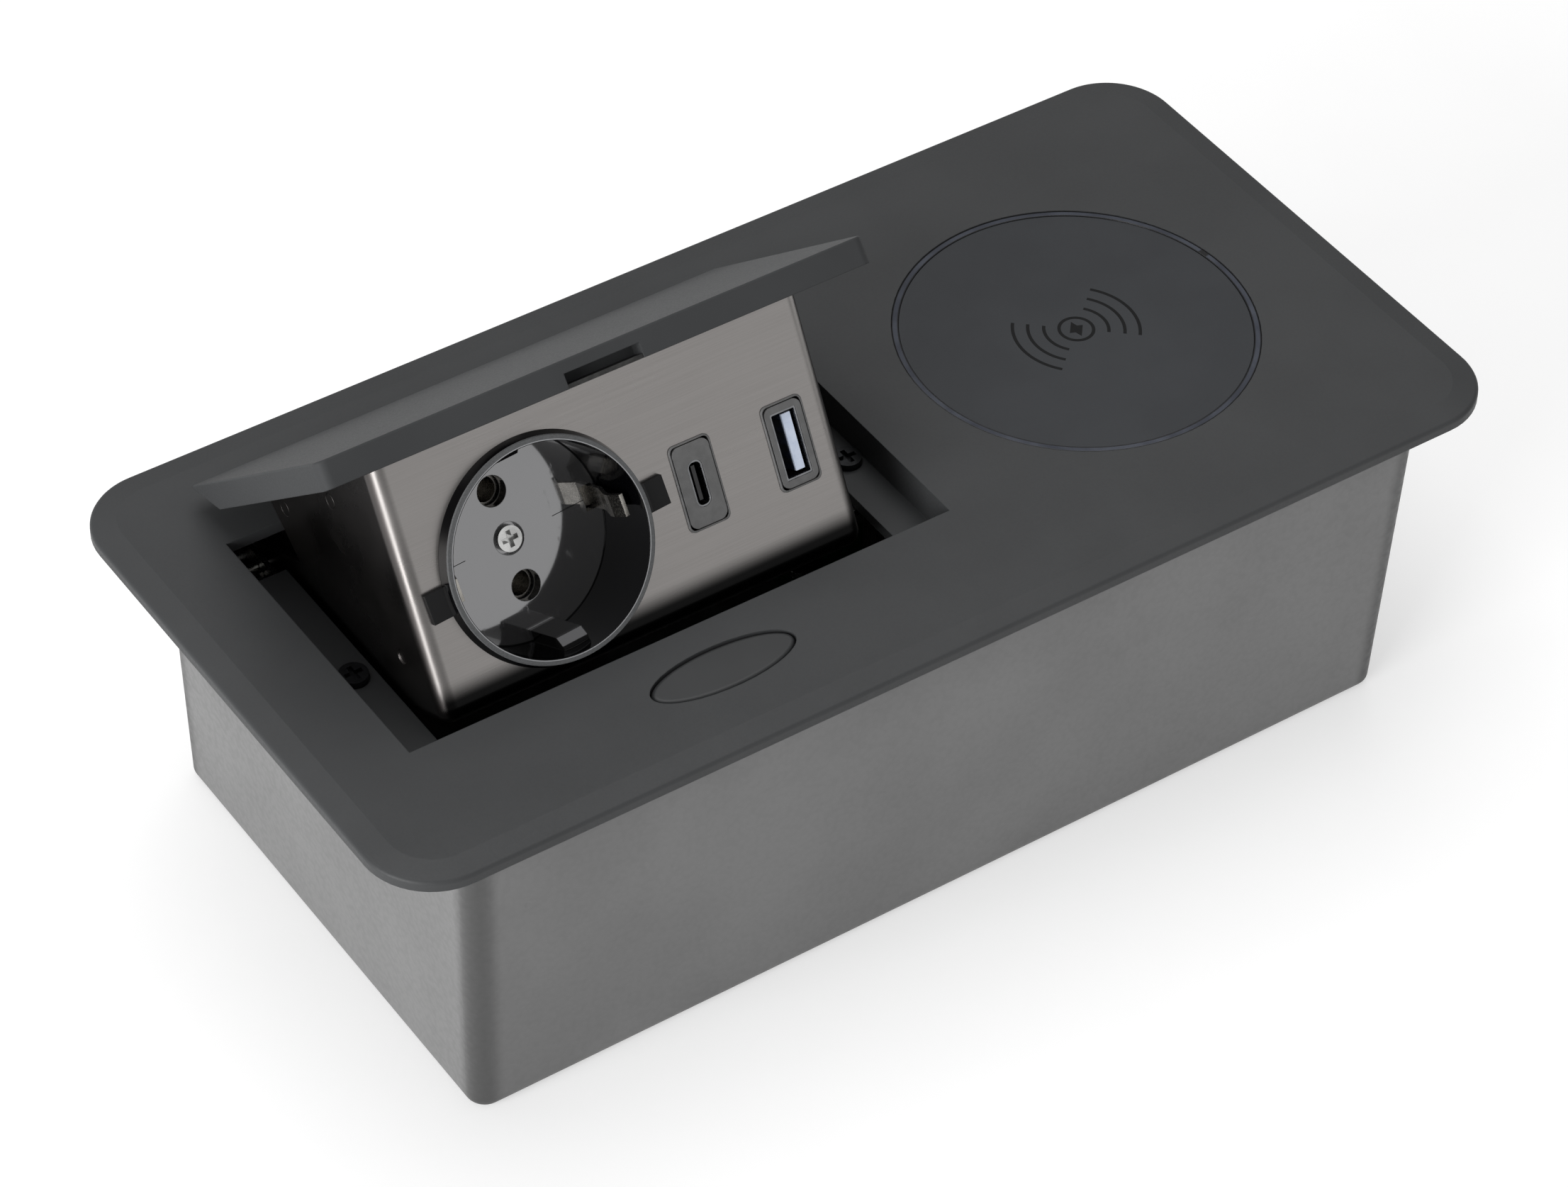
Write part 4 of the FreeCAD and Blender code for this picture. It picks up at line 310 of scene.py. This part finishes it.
def socketFinish():
    look = socketLook
    finish = Finish("socket_plastic_look", {"Specular IOR Level": 0.22})
    centre, sideways, upwards = socketFrame()
    apart = finish.placeFrom(tuple(centre))
    out = finish.along(tuple(panelOut), apart)
    side, up = finish.along(tuple(sideways), apart), finish.along(tuple(upwards), apart)
    radius = finish.length(side, up)
    raised = finish.reckon("GREATER_THAN", out, look["rimHigh"])
    rim = finish.reckon("MULTIPLY", raised, finish.reckon("GREATER_THAN", radius, look["rimInner"]))
    # Painted highlight: a thin bright line coloured along the rim's inner edge
    inEdgeHighlight = finish.reckon("LESS_THAN", radius, look["rimInner"] + look["lipWide"])
    lip = finish.reckon("MULTIPLY", rim, inEdgeHighlight)
    ear = finish.reckon("GREATER_THAN", radius, look["rimOuter"] + look["rimPlay"])
    floor = finish.reckon("LESS_THAN", out, look["floor"])
    scuff = finish.mapped(finish.noise(look["scuff"], 5.0, (1, 0.4, 0.4)), 0.62, 0.72)
    onSeam = finish.reckon("LESS_THAN", finish.reckon("ABSOLUTE", up), look["seamWide"] / 2)
    pastPins = finish.reckon("GREATER_THAN", finish.reckon("ABSOLUTE", side), look["seamFrom"])
    seam = finish.reckon("MULTIPLY", finish.reckon("MULTIPLY", onSeam, pastPins), floor)
    grain = finish.noise(look["grain"], 4.0)
    rimSkin = finish.mix(finish.mapped(grain, 0.3, 0.7), look["rimDark"], look["rimLight"])
    inLead = finish.reckon("GREATER_THAN", out, look["leadFloor"])
    inWell = finish.reckon("LESS_THAN", radius, look["rimInner"] - look["leadPlay"])
    mirror = finish.reckon("MULTIPLY", finish.reckon("MAXIMUM", floor, inLead), inWell)
    skin = finish.mix(mirror, look["wall"], finish.mix(floor, look["lead"], look["gloss"]))
    skin = finish.mix(rim, skin, rimSkin)
    skin = finish.mix(lip, skin, look["lip"])
    skin = finish.mix(ear, skin, look["ear"])
    skin = finish.mix(seam, skin, look["wall"])
    matt = finish.reckon("MAXIMUM", rim, ear)
    finish.give(Base_Color=skin, Metallic=finish.blend(mirror, 0.0, 0.85),
                Roughness=finish.blend(matt, finish.blend(scuff, 0.06, 0.22), 0.55))
    finish.relief(look["edge"], (finish.reckon("MULTIPLY", grain, matt), look["depth"]),
                  (seam, look["seamDepth"]))
    return finish.material


# Pale tongue of the wide port: white at its tip, with painted shade in deep blue down its sides inside
# the port
tongueLook = {"tip": "#c3cee2", "tipLight": "#d0d9ea", "side": "#1a2030", "sideShadeLight": "#232b3f",
              "tipEnd": -0.0011, "tipFade": 0.0004, "cloud": 0.002, "grain": 0.0003, "depth": 4e-6,
              "rough": (0.26, 0.36), "edge": 0.00008}


def tongueFinish():
    look = tongueLook
    finish = Finish("tongue_pale_look", {})
    out = finish.along(tuple(panelOut), finish.placeFrom(tuple(onPanel(0, 0))))
    # Painted shade: the tongue's sides below the tip are coloured deep blue-black
    atTip = finish.mapped(out, look["tipEnd"] - look["tipFade"], look["tipEnd"])
    cloud = finish.mapped(finish.noise(look["cloud"]), 0.3, 0.7)
    grain = finish.noise(look["grain"], 4.0)
    finish.give(Base_Color=finish.mix(atTip, finish.mix(cloud, look["side"], look["sideShadeLight"]),
                                      finish.mix(cloud, look["tip"], look["tipLight"])),
                Roughness=finish.mapped(grain, 0.3, 0.7, *look["rough"]))
    finish.relief(look["edge"], (grain, look["depth"]))
    return finish.material


# Winding: enamelled copper laid in rings round the coil's middle
windingLook = {"dark": "#6d3416", "light": "#c2703a", "pitch": 0.0008, "depth": 1.5e-4,
               "rough": (0.22, 0.34), "edge": 0.0001}


def windingFinish():
    look = windingLook
    finish = Finish("copper_winding_look", {"Metallic": 0.9})
    low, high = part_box("charging_coil")
    apart = finish.placeFrom(tuple((low + high) / 2))
    side, up = finish.along((1, 0, 0), apart), finish.along((0, 1, 0), apart)
    radius = finish.length(side, up)
    turns = finish.reckon("SINE", finish.reckon("MULTIPLY", radius, 2 * math.pi / look["pitch"]))
    strand = finish.mapped(turns, -1.0, 1.0)
    finish.give(Base_Color=finish.mix(strand, look["dark"], look["light"]),
                Roughness=finish.mapped(strand, 0.0, 1.0, look["rough"][1], look["rough"][0]))
    finish.relief(look["edge"], (strand, look["depth"]))
    return finish.material


# Circuit boards: green solder mask over copper runs, which show as lighter lines
boardLook = {"mask": "#12402a", "run": "#1f5c3d", "pitch": 0.0032, "runWide": 0.34, "pad": "#b9bdb8",
             "padPitch": 0.0052, "cloud": 0.01, "depth": 3e-5, "rough": (0.26, 0.36), "edge": 0.0002}


def boardFinish():
    look = boardLook
    finish = Finish("circuit_board_look", {"Coat Weight": 0.4, "Coat Roughness": 0.2})
    cell = finish.cells(look["pitch"], "DISTANCE_TO_EDGE")
    run = finish.mapped(cell, look["runWide"] - 0.06, look["runWide"])
    pad = finish.mapped(finish.cells(look["padPitch"]), 0.10, 0.14, 1.0, 0.0)
    cloud = finish.mapped(finish.noise(look["cloud"]), 0.3, 0.7)
    faded = finish.blend(cloud, run, finish.reckon("MULTIPLY", run, 0.8))
    skin = finish.mix(faded, look["mask"], look["run"])
    finish.give(Base_Color=finish.mix(pad, skin, look["pad"]), Metallic=finish.blend(pad, 0.0, 0.8),
                Roughness=finish.mapped(cloud, 0.0, 1.0, *look["rough"]))
    finish.relief(look["edge"], (run, look["depth"]))
    return finish.material


# Transformer: varnished iron sheets, seen as thin layers
coreLook = {"dark": "#2b2a29", "light": "#4a4745", "sheet": 0.0007, "cloud": 0.004, "depth": 6e-5,
            "rough": (0.34, 0.52), "edge": 0.0002}


def coreFinish():
    look = coreLook
    finish = Finish("transformer_core_look", {"Metallic": 0.5})
    layers = finish.reckon("SINE", finish.reckon("MULTIPLY", finish.along((0, 1, 0)),
                                                 2 * math.pi / look["sheet"]))
    sheet = finish.mapped(layers, -1.0, 0.2)
    finish.give(Base_Color=finish.mix(sheet, look["dark"], look["light"]),
                Roughness=finish.mapped(finish.noise(look["cloud"]), 0.3, 0.7, *look["rough"]))
    finish.relief(look["edge"], (sheet, look["depth"]))
    return finish.material


# Capacitors: dark sleeves over cans whose bare tops show
capacitorLook = {"dark": "#15171c", "light": "#1c1f26", "top": "#b4b5b6", "topBand": 0.0006, "cloud": 0.004,
                 "grain": 0.0004, "depth": 5e-6, "rough": (0.22, 0.34), "edge": 0.0003}


def capacitorFinish():
    look = capacitorLook
    finish = Finish("capacitor_sleeve_look", {})
    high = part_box("capacitors")[1].z
    top = finish.reckon("GREATER_THAN", finish.along((0, 0, 1)), high - look["topBand"])
    grain = finish.noise(look["grain"], 4.0)
    sleeve = finish.mix(finish.mapped(finish.noise(look["cloud"]), 0.3, 0.7), look["dark"], look["light"])
    finish.give(Base_Color=finish.mix(top, sleeve, look["top"]), Metallic=top,
                Roughness=finish.mapped(grain, 0.3, 0.7, *look["rough"]))
    finish.relief(look["edge"], (grain, look["depth"]))
    return finish.material


finishes = {name: plainFinish(name) for name in looks}
finishes |= {"casing": casingFinish(), "box_steel": steelFinish(), "light_guide": ringFinish(),
             "socket_plastic": socketFinish(), "copper_winding": windingFinish(),
             "tongue_pale": tongueFinish(), "circuit_board": boardFinish(),
             "transformer_core": coreFinish(), "capacitor_sleeve": capacitorFinish()}
ownFinish = {"lid": "lid", "lid_strike": "dark_steel"}  # pieces that look unlike the rest of their slot
for part in frame["record"]["subparts"]:
    finish = ownFinish.get(part["node"], part["material_slot"])
    frame["nodes"][part["node"]].data.materials[0] = finishes[finish]
print("finishes made:", len(finishes))


# New pieces: closed surfaces worked out as arrays

def newPiece(name, points, faces, finish, slot, body):
    mesh = bpy.data.meshes.new(name)
    mesh.from_pydata(np.asarray(points, float).tolist(), [], faces)
    mesh.validate()
    mesh.materials.append(finish)
    piece = bpy.data.objects.new(name, mesh)
    bpy.context.scene.collection.objects.link(piece)
    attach(piece, body)
    return piece


def carried(rings, closed):
    # A profile carried along a path: rings[i, j] is point j of the profile at step i. The walls join
    # each ring to the next, and an open path gets a cap at each end.
    steps, corners = rings.shape[:2]
    i, j = np.meshgrid(np.arange(steps if closed else steps - 1), np.arange(corners), indexing="ij")
    after, beside = (i + 1) % steps, (j + 1) % corners
    walls = np.stack([i * corners + j, i * corners + beside, after * corners + beside,
                      after * corners + j], -1).reshape(-1, 4).tolist()
    if not closed:
        walls.append(list(range(corners))[::-1])
        walls.append([(steps - 1) * corners + k for k in range(corners)])
    return rings.reshape(-1, 3), walls


def gathered(parts):
    points, faces, count = [], [], 0
    for partPoints, partFaces in parts:
        points.append(partPoints)
        faces += [[count + k for k in face] for face in partFaces]
        count += len(partPoints)
    return np.concatenate(points), faces


# Printed charging mark: a bolt in a ring, with three arcs on each side
markLook = {"ringRadius": 0.00335, "ringWide": 0.00066, "arcRadii": (0.0063, 0.0094, 0.01235),
            "arcWide": 0.00066, "halfTurn": 41.0, "thick": 0.00002, "ink": "#060607",
            "inkLight": "#0c0d0e", "inkCloud": 0.0008, "steps": 64,
            "bolt": ((0.00036, 0.00224), (0.00070, 0.00072), (0.00176, 0.00029))}


def markArc(centre, radius, wide, start, end):
    # A thin bar bent round the centre: the angle runs along it, the four corners of the bar round it
    closed = end - start >= 360
    angles = np.radians(np.linspace(start, end, markLook["steps"], endpoint=not closed))
    edges = np.array([radius + wide / 2, radius + wide / 2, radius - wide / 2, radius - wide / 2])
    lifts = np.array([0, 1, 1, 0]) * markLook["thick"]
    rings = np.stack([centre[0] + np.cos(angles)[:, None] * edges,
                      centre[1] + np.sin(angles)[:, None] * edges,
                      np.broadcast_to(centre[2] + lifts, (len(angles), 4))], -1)
    return carried(rings, closed)


def chargingMark():
    look = markLook
    low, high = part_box("charger_disc")
    centre = ((low.x + high.x) / 2, (low.y + high.y) / 2, high.z)
    parts = [markArc(centre, look["ringRadius"], look["ringWide"], 0, 360)]
    for radius in look["arcRadii"]:
        for middle in (0, 180):
            parts.append(markArc(centre, radius, look["arcWide"], middle - look["halfTurn"],
                                 middle + look["halfTurn"]))
    half = np.array(look["bolt"])
    outline = np.concatenate([half, -half])[::-1]
    levels = np.array([look["thick"], 0.0])
    rings = np.stack([np.column_stack([centre[0] + outline[:, 0], centre[1] + outline[:, 1],
                                       np.full(len(outline), centre[2] + level)]) for level in levels])
    parts.append(carried(rings, False))
    finish = Finish("ink_look", {"Roughness": 0.5, "Specular IOR Level": 0.15})
    finish.give(Base_Color=finish.mix(finish.noise(look["inkCloud"]), look["ink"], look["inkLight"]))
    return newPiece("charging_mark", *gathered(parts), finish.material, "charger_cover", "module")


def brick(corner, sides):
    # A closed block from one corner and three edges, carried along the third edge
    a, b, c = (np.array(side) for side in sides)
    ring = np.stack([np.zeros(3), a, a + b, b]) + np.array(corner)
    return carried(np.stack([ring, ring + c]), False)


# Contacts on the tongues of the charging ports
contactLook = {"countA": 4, "wideA": 0.0011, "pitchA": 0.0025, "longA": 0.0050, "countC": 6,
               "wideC": 0.00034, "pitchC": 0.00085, "longC": 0.0036, "proud": 0.00008, "back": 0.0009,
               "tip": -0.00075, "down": 0.02605, "dark": "#3b3f49", "light": "#4c505a",
               "cloud": 0.0006, "grain": 0.0003, "rough": (0.28, 0.4)}


def portContacts():
    look = contactLook
    parts = []
    for node, count, wide, pitch, length in (("usb_a_tongue", look["countA"], look["wideA"],
                                              look["pitchA"], look["longA"]),
                                             ("usb_c_tongue", look["countC"], look["wideC"],
                                              look["pitchC"], look["longC"])):
        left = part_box(node)[0].x
        for k in range(count):
            up = -look["down"] + (k - (count - 1) / 2) * pitch - wide / 2
            corner = onPanel(left - look["proud"], up, look["tip"] - look["back"])
            parts.append(brick(corner, ((look["proud"] * 1.5, 0, 0), wide * panelUp, -length * panelOut)))
    finish = Finish("contact_look", {"Metallic": 0.8})
    finish.give(Base_Color=finish.mix(finish.noise(look["cloud"]), look["dark"], look["light"]),
                Roughness=finish.mapped(finish.noise(look["grain"]), 0.3, 0.7, *look["rough"]))
    return newPiece("port_contacts", *gathered(parts), finish.material, "earth_brass", "flip_unit")


# Rounded lips of the port plates, which cover the corners of the openings in the steel
lipLook = {"round": 0.0013, "past": 0.00052, "high": 0.00036, "edge": 0.00014, "plateDeep": 0.004,
           "steps": 10}


def roundedLoop(halfWide, halfHigh, radius, steps):
    # Round a rectangle whose corners are quarter turns: each point is a corner's centre plus a radius
    turns = np.linspace(0, math.pi / 2, steps)
    loops = []
    for quarter, (signX, signY) in enumerate(((1, 1), (-1, 1), (-1, -1), (1, -1))):
        angles = turns + quarter * math.pi / 2
        loops.append(np.column_stack([signX * (halfWide - radius) + radius * np.cos(angles),
                                      signY * (halfHigh - radius) + radius * np.sin(angles)]))
    return np.concatenate(loops)


def portLips():
    # A low frame round each plate: its section is carried round the rounded outline
    look = lipLook
    parts = []
    for node in ("usb_c_plate", "usb_a_plate"):
        low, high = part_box(node)
        halfWide = (high.x - low.x) / 2
        halfHigh = (high.z - low.z - look["plateDeep"] * panelOut.z) / panelUp.z / 2
        middle = np.array(onPanel((low.x + high.x) / 2, -contactLook["down"]))
        sections = [(-look["past"] * 0.6, 0.0), (0.0, 0.0), (0.0, 1.0 - look["edge"] / look["high"]),
                    (-look["edge"], 1.0), (-look["past"] * 0.6, 1.0)]
        rings = []
        for inward, level in sections:
            loop = roundedLoop(halfWide + look["past"] + inward, halfHigh + look["past"] + inward,
                               look["round"] + inward * 0.5, look["steps"])
            rings.append(middle + loop[:, :1] * np.array((1, 0, 0)) + loop[:, 1:] * np.array(panelUp)
                         + level * look["high"] * np.array(panelOut))
        parts.append(carried(np.stack(rings, 1), True))
    return newPiece("port_lips", *gathered(parts), finishes["port_plastic"], "port_plastic", "flip_unit")


# Shutters behind the two pin holes, of which a thin curved edge shows, over near-black plates that are
# painted shade inside the holes
shutterLook = {"apart": 0.019, "radius": 0.0026, "thick": 0.00022, "bow": 0.0011, "high": 0.0014,
               "floor": -0.0152, "steps": 24, "plateRadius": 0.0029, "plateDown": 0.0009,
               "plateThick": 0.0002, "dark": "#6d6e70", "light": "#8b8c8e", "cloud": 0.001,
               "holeShade": "#040404", "holeShadeLight": "#070707"}


def pinShutters():
    # A round plate closes each hole, coloured near-black as painted shade, and a short wall is bowed
    # across it: its middle stands off the chord by the bow
    look = shutterLook
    parts, plates = [], []
    centre, sideways, upwards = socketFrame(look["floor"])
    across, along, out = (np.array(axis) for axis in (sideways, upwards, panelOut))
    chord = np.linspace(-1, 1, look["steps"])
    for side in (-1, 1):
        hole = np.array(centre) + side * look["apart"] / 2 * across
        bowed = look["bow"] * (1 - chord ** 2)
        body = look["thick"] * (1 - 0.7 * chord ** 2)
        spine = hole + (chord * look["radius"] * 0.93)[:, None] * along + bowed[:, None] * across
        turns = np.linspace(0, 2 * math.pi, look["steps"] * 2, endpoint=False)
        disc = (np.cos(turns)[:, None] * across + np.sin(turns)[:, None] * along) * look["plateRadius"]
        top = hole - look["plateDown"] * out
        plates.append(carried(np.stack([top + disc, top + disc - look["plateThick"] * out]), False))
        low = -look["high"] * out
        rings = np.stack([spine, spine + body[:, None] * across, spine + body[:, None] * across + low,
                          spine + low], 1)
        parts.append(carried(rings, False))
    finish = Finish("shutter_look", {"Roughness": 0.3})
    finish.give(Base_Color=finish.mix(finish.noise(look["cloud"]), look["dark"], look["light"]))
    newPiece("pin_shutters", *gathered(parts), finish.material, "socket_plastic", "flip_unit")
    # Painted shade: the plates under the holes are coloured near-black
    dark = Finish("hole_shade_look", {"Roughness": 0.3, "Specular IOR Level": 0.3})
    dark.give(Base_Color=dark.mix(dark.noise(look["cloud"]), look["holeShade"], look["holeShadeLight"]))
    newPiece("pin_plates", *gathered(plates), dark.material, "socket_plastic", "flip_unit")


chargingMark()
portContacts()
portLips()
pinShutters()
print("small pieces made")


# Studio: white floor, soft lamps at a plain level and the camera
studioLook = {"floorSize": 8.0, "floorDown": 0.0002, "floorColour": "#cdcdcd", "floorLight": "#d0d0d0",
              "floorCloud": 0.02, "glow": 0.45, "farGlow": 1.0, "near": 0.7, "far": 1.8, "sky": 0.42,
              "lamps": {"overhead": ((0.1, 0.35, 1.3), (0, 0, 0.05), 1.2, 8.5),
                        "left": ((-1.3, -0.35, 0.33), (0, 0, 0.06), 0.9, 23.0),
                        "front": ((0.55, -1.15, 0.35), (-0.03, -0.02, 0.08), 0.9, 1.4)}}


def isSeen(finish):
    # 1 where the camera, a mirror or a clear piece looks at the surface, 0 where it only gives light
    rays = finish.add("LightPath").outputs
    seen = finish.reckon("MAXIMUM", rays["Is Camera Ray"], rays["Is Glossy Ray"])
    return finish.reckon("MAXIMUM", seen, rays["Is Transmission Ray"])


def makeFloor():
    look = studioLook
    half = look["floorSize"] / 2
    mesh = bpy.data.meshes.new("floor")
    corners = [(-half, -half, 0), (half, -half, 0), (half, half, 0), (-half, half, 0)]
    mesh.from_pydata(corners, [], [(0, 1, 2, 3)])
    floor = bpy.data.objects.new("floor", mesh)
    floor.location.z = -look["floorDown"]
    bpy.context.scene.collection.objects.link(floor)
    finish = Finish("floor_look", {"Roughness": 0.9, "Specular IOR Level": 0.0,
                                   "Emission Color": (1, 1, 1, 1)})
    away = finish.add("VectorMath", {0: finish.place}, operation="LENGTH").outputs["Value"]
    glow = finish.mapped(away, look["near"], look["far"], look["glow"], look["farGlow"])
    finish.give(Base_Color=finish.mix(finish.noise(look["floorCloud"]), look["floorColour"],
                                      look["floorLight"]),
                Emission_Strength=finish.reckon("MULTIPLY", glow, isSeen(finish)))
    mesh.materials.append(finish.material)


def makeSky():
    world = bpy.data.worlds.new("sky")
    bpy.context.scene.world = world
    world.use_nodes = True
    tree = world.node_tree
    shade = tree.nodes["Background"]
    shade.inputs["Color"].default_value = (1, 1, 1, 1)
    rays = tree.nodes.new("ShaderNodeLightPath")
    level = tree.nodes.new("ShaderNodeMapRange")
    level.inputs["To Min"].default_value = studioLook["sky"]
    level.inputs["To Max"].default_value = 1.0
    tree.links.new(rays.outputs["Is Camera Ray"], level.inputs["Value"])
    tree.links.new(level.outputs[0], shade.inputs["Strength"])


def makeLamps():
    for name, (spot, aim, size, power) in studioLook["lamps"].items():
        lamp = bpy.data.lights.new(name, "AREA")
        lamp.shape = "SQUARE"
        lamp.size = size
        lamp.energy = power
        holder = bpy.data.objects.new(name, lamp)
        holder.location = spot
        holder.rotation_euler = (Vector(aim) - Vector(spot)).to_track_quat("-Z", "Y").to_euler()
        bpy.context.scene.collection.objects.link(holder)


# Camera: turned to the left front, looking down and rolled a little
cameraLook = {"turn": 35.504, "down": 43.164, "roll": 1.814, "aim": (-0.01229, -0.01456, 0.05276), 
              "distance": 1.00725, "lens": 123.1, "sensor": 36.0}


def makeCamera():
    look = cameraLook
    turn, down = math.radians(look["turn"]), math.radians(look["down"])
    ahead = Vector((math.sin(turn) * math.cos(down), math.cos(turn) * math.cos(down), -math.sin(down)))
    level = Vector((math.cos(turn), -math.sin(turn), 0))
    roll = math.radians(look["roll"])
    right = math.cos(roll) * level + math.sin(roll) * level.cross(ahead)
    above = right.cross(ahead)
    camera = bpy.data.cameras.new("camera")
    camera.lens, camera.sensor_width, camera.clip_start = look["lens"], look["sensor"], 0.01
    holder = bpy.data.objects.new("camera", camera)
    spot = Vector(look["aim"]) - look["distance"] * ahead
    holder.matrix_world = Matrix.Translation(spot) @ Matrix((right, above, -ahead)).transposed().to_4x4()
    bpy.context.scene.collection.objects.link(holder)
    bpy.context.scene.camera = holder


makeFloor()
makeSky()
makeLamps()
makeCamera()
bpy.context.scene.view_settings.view_transform = "Standard"
print("studio ready")
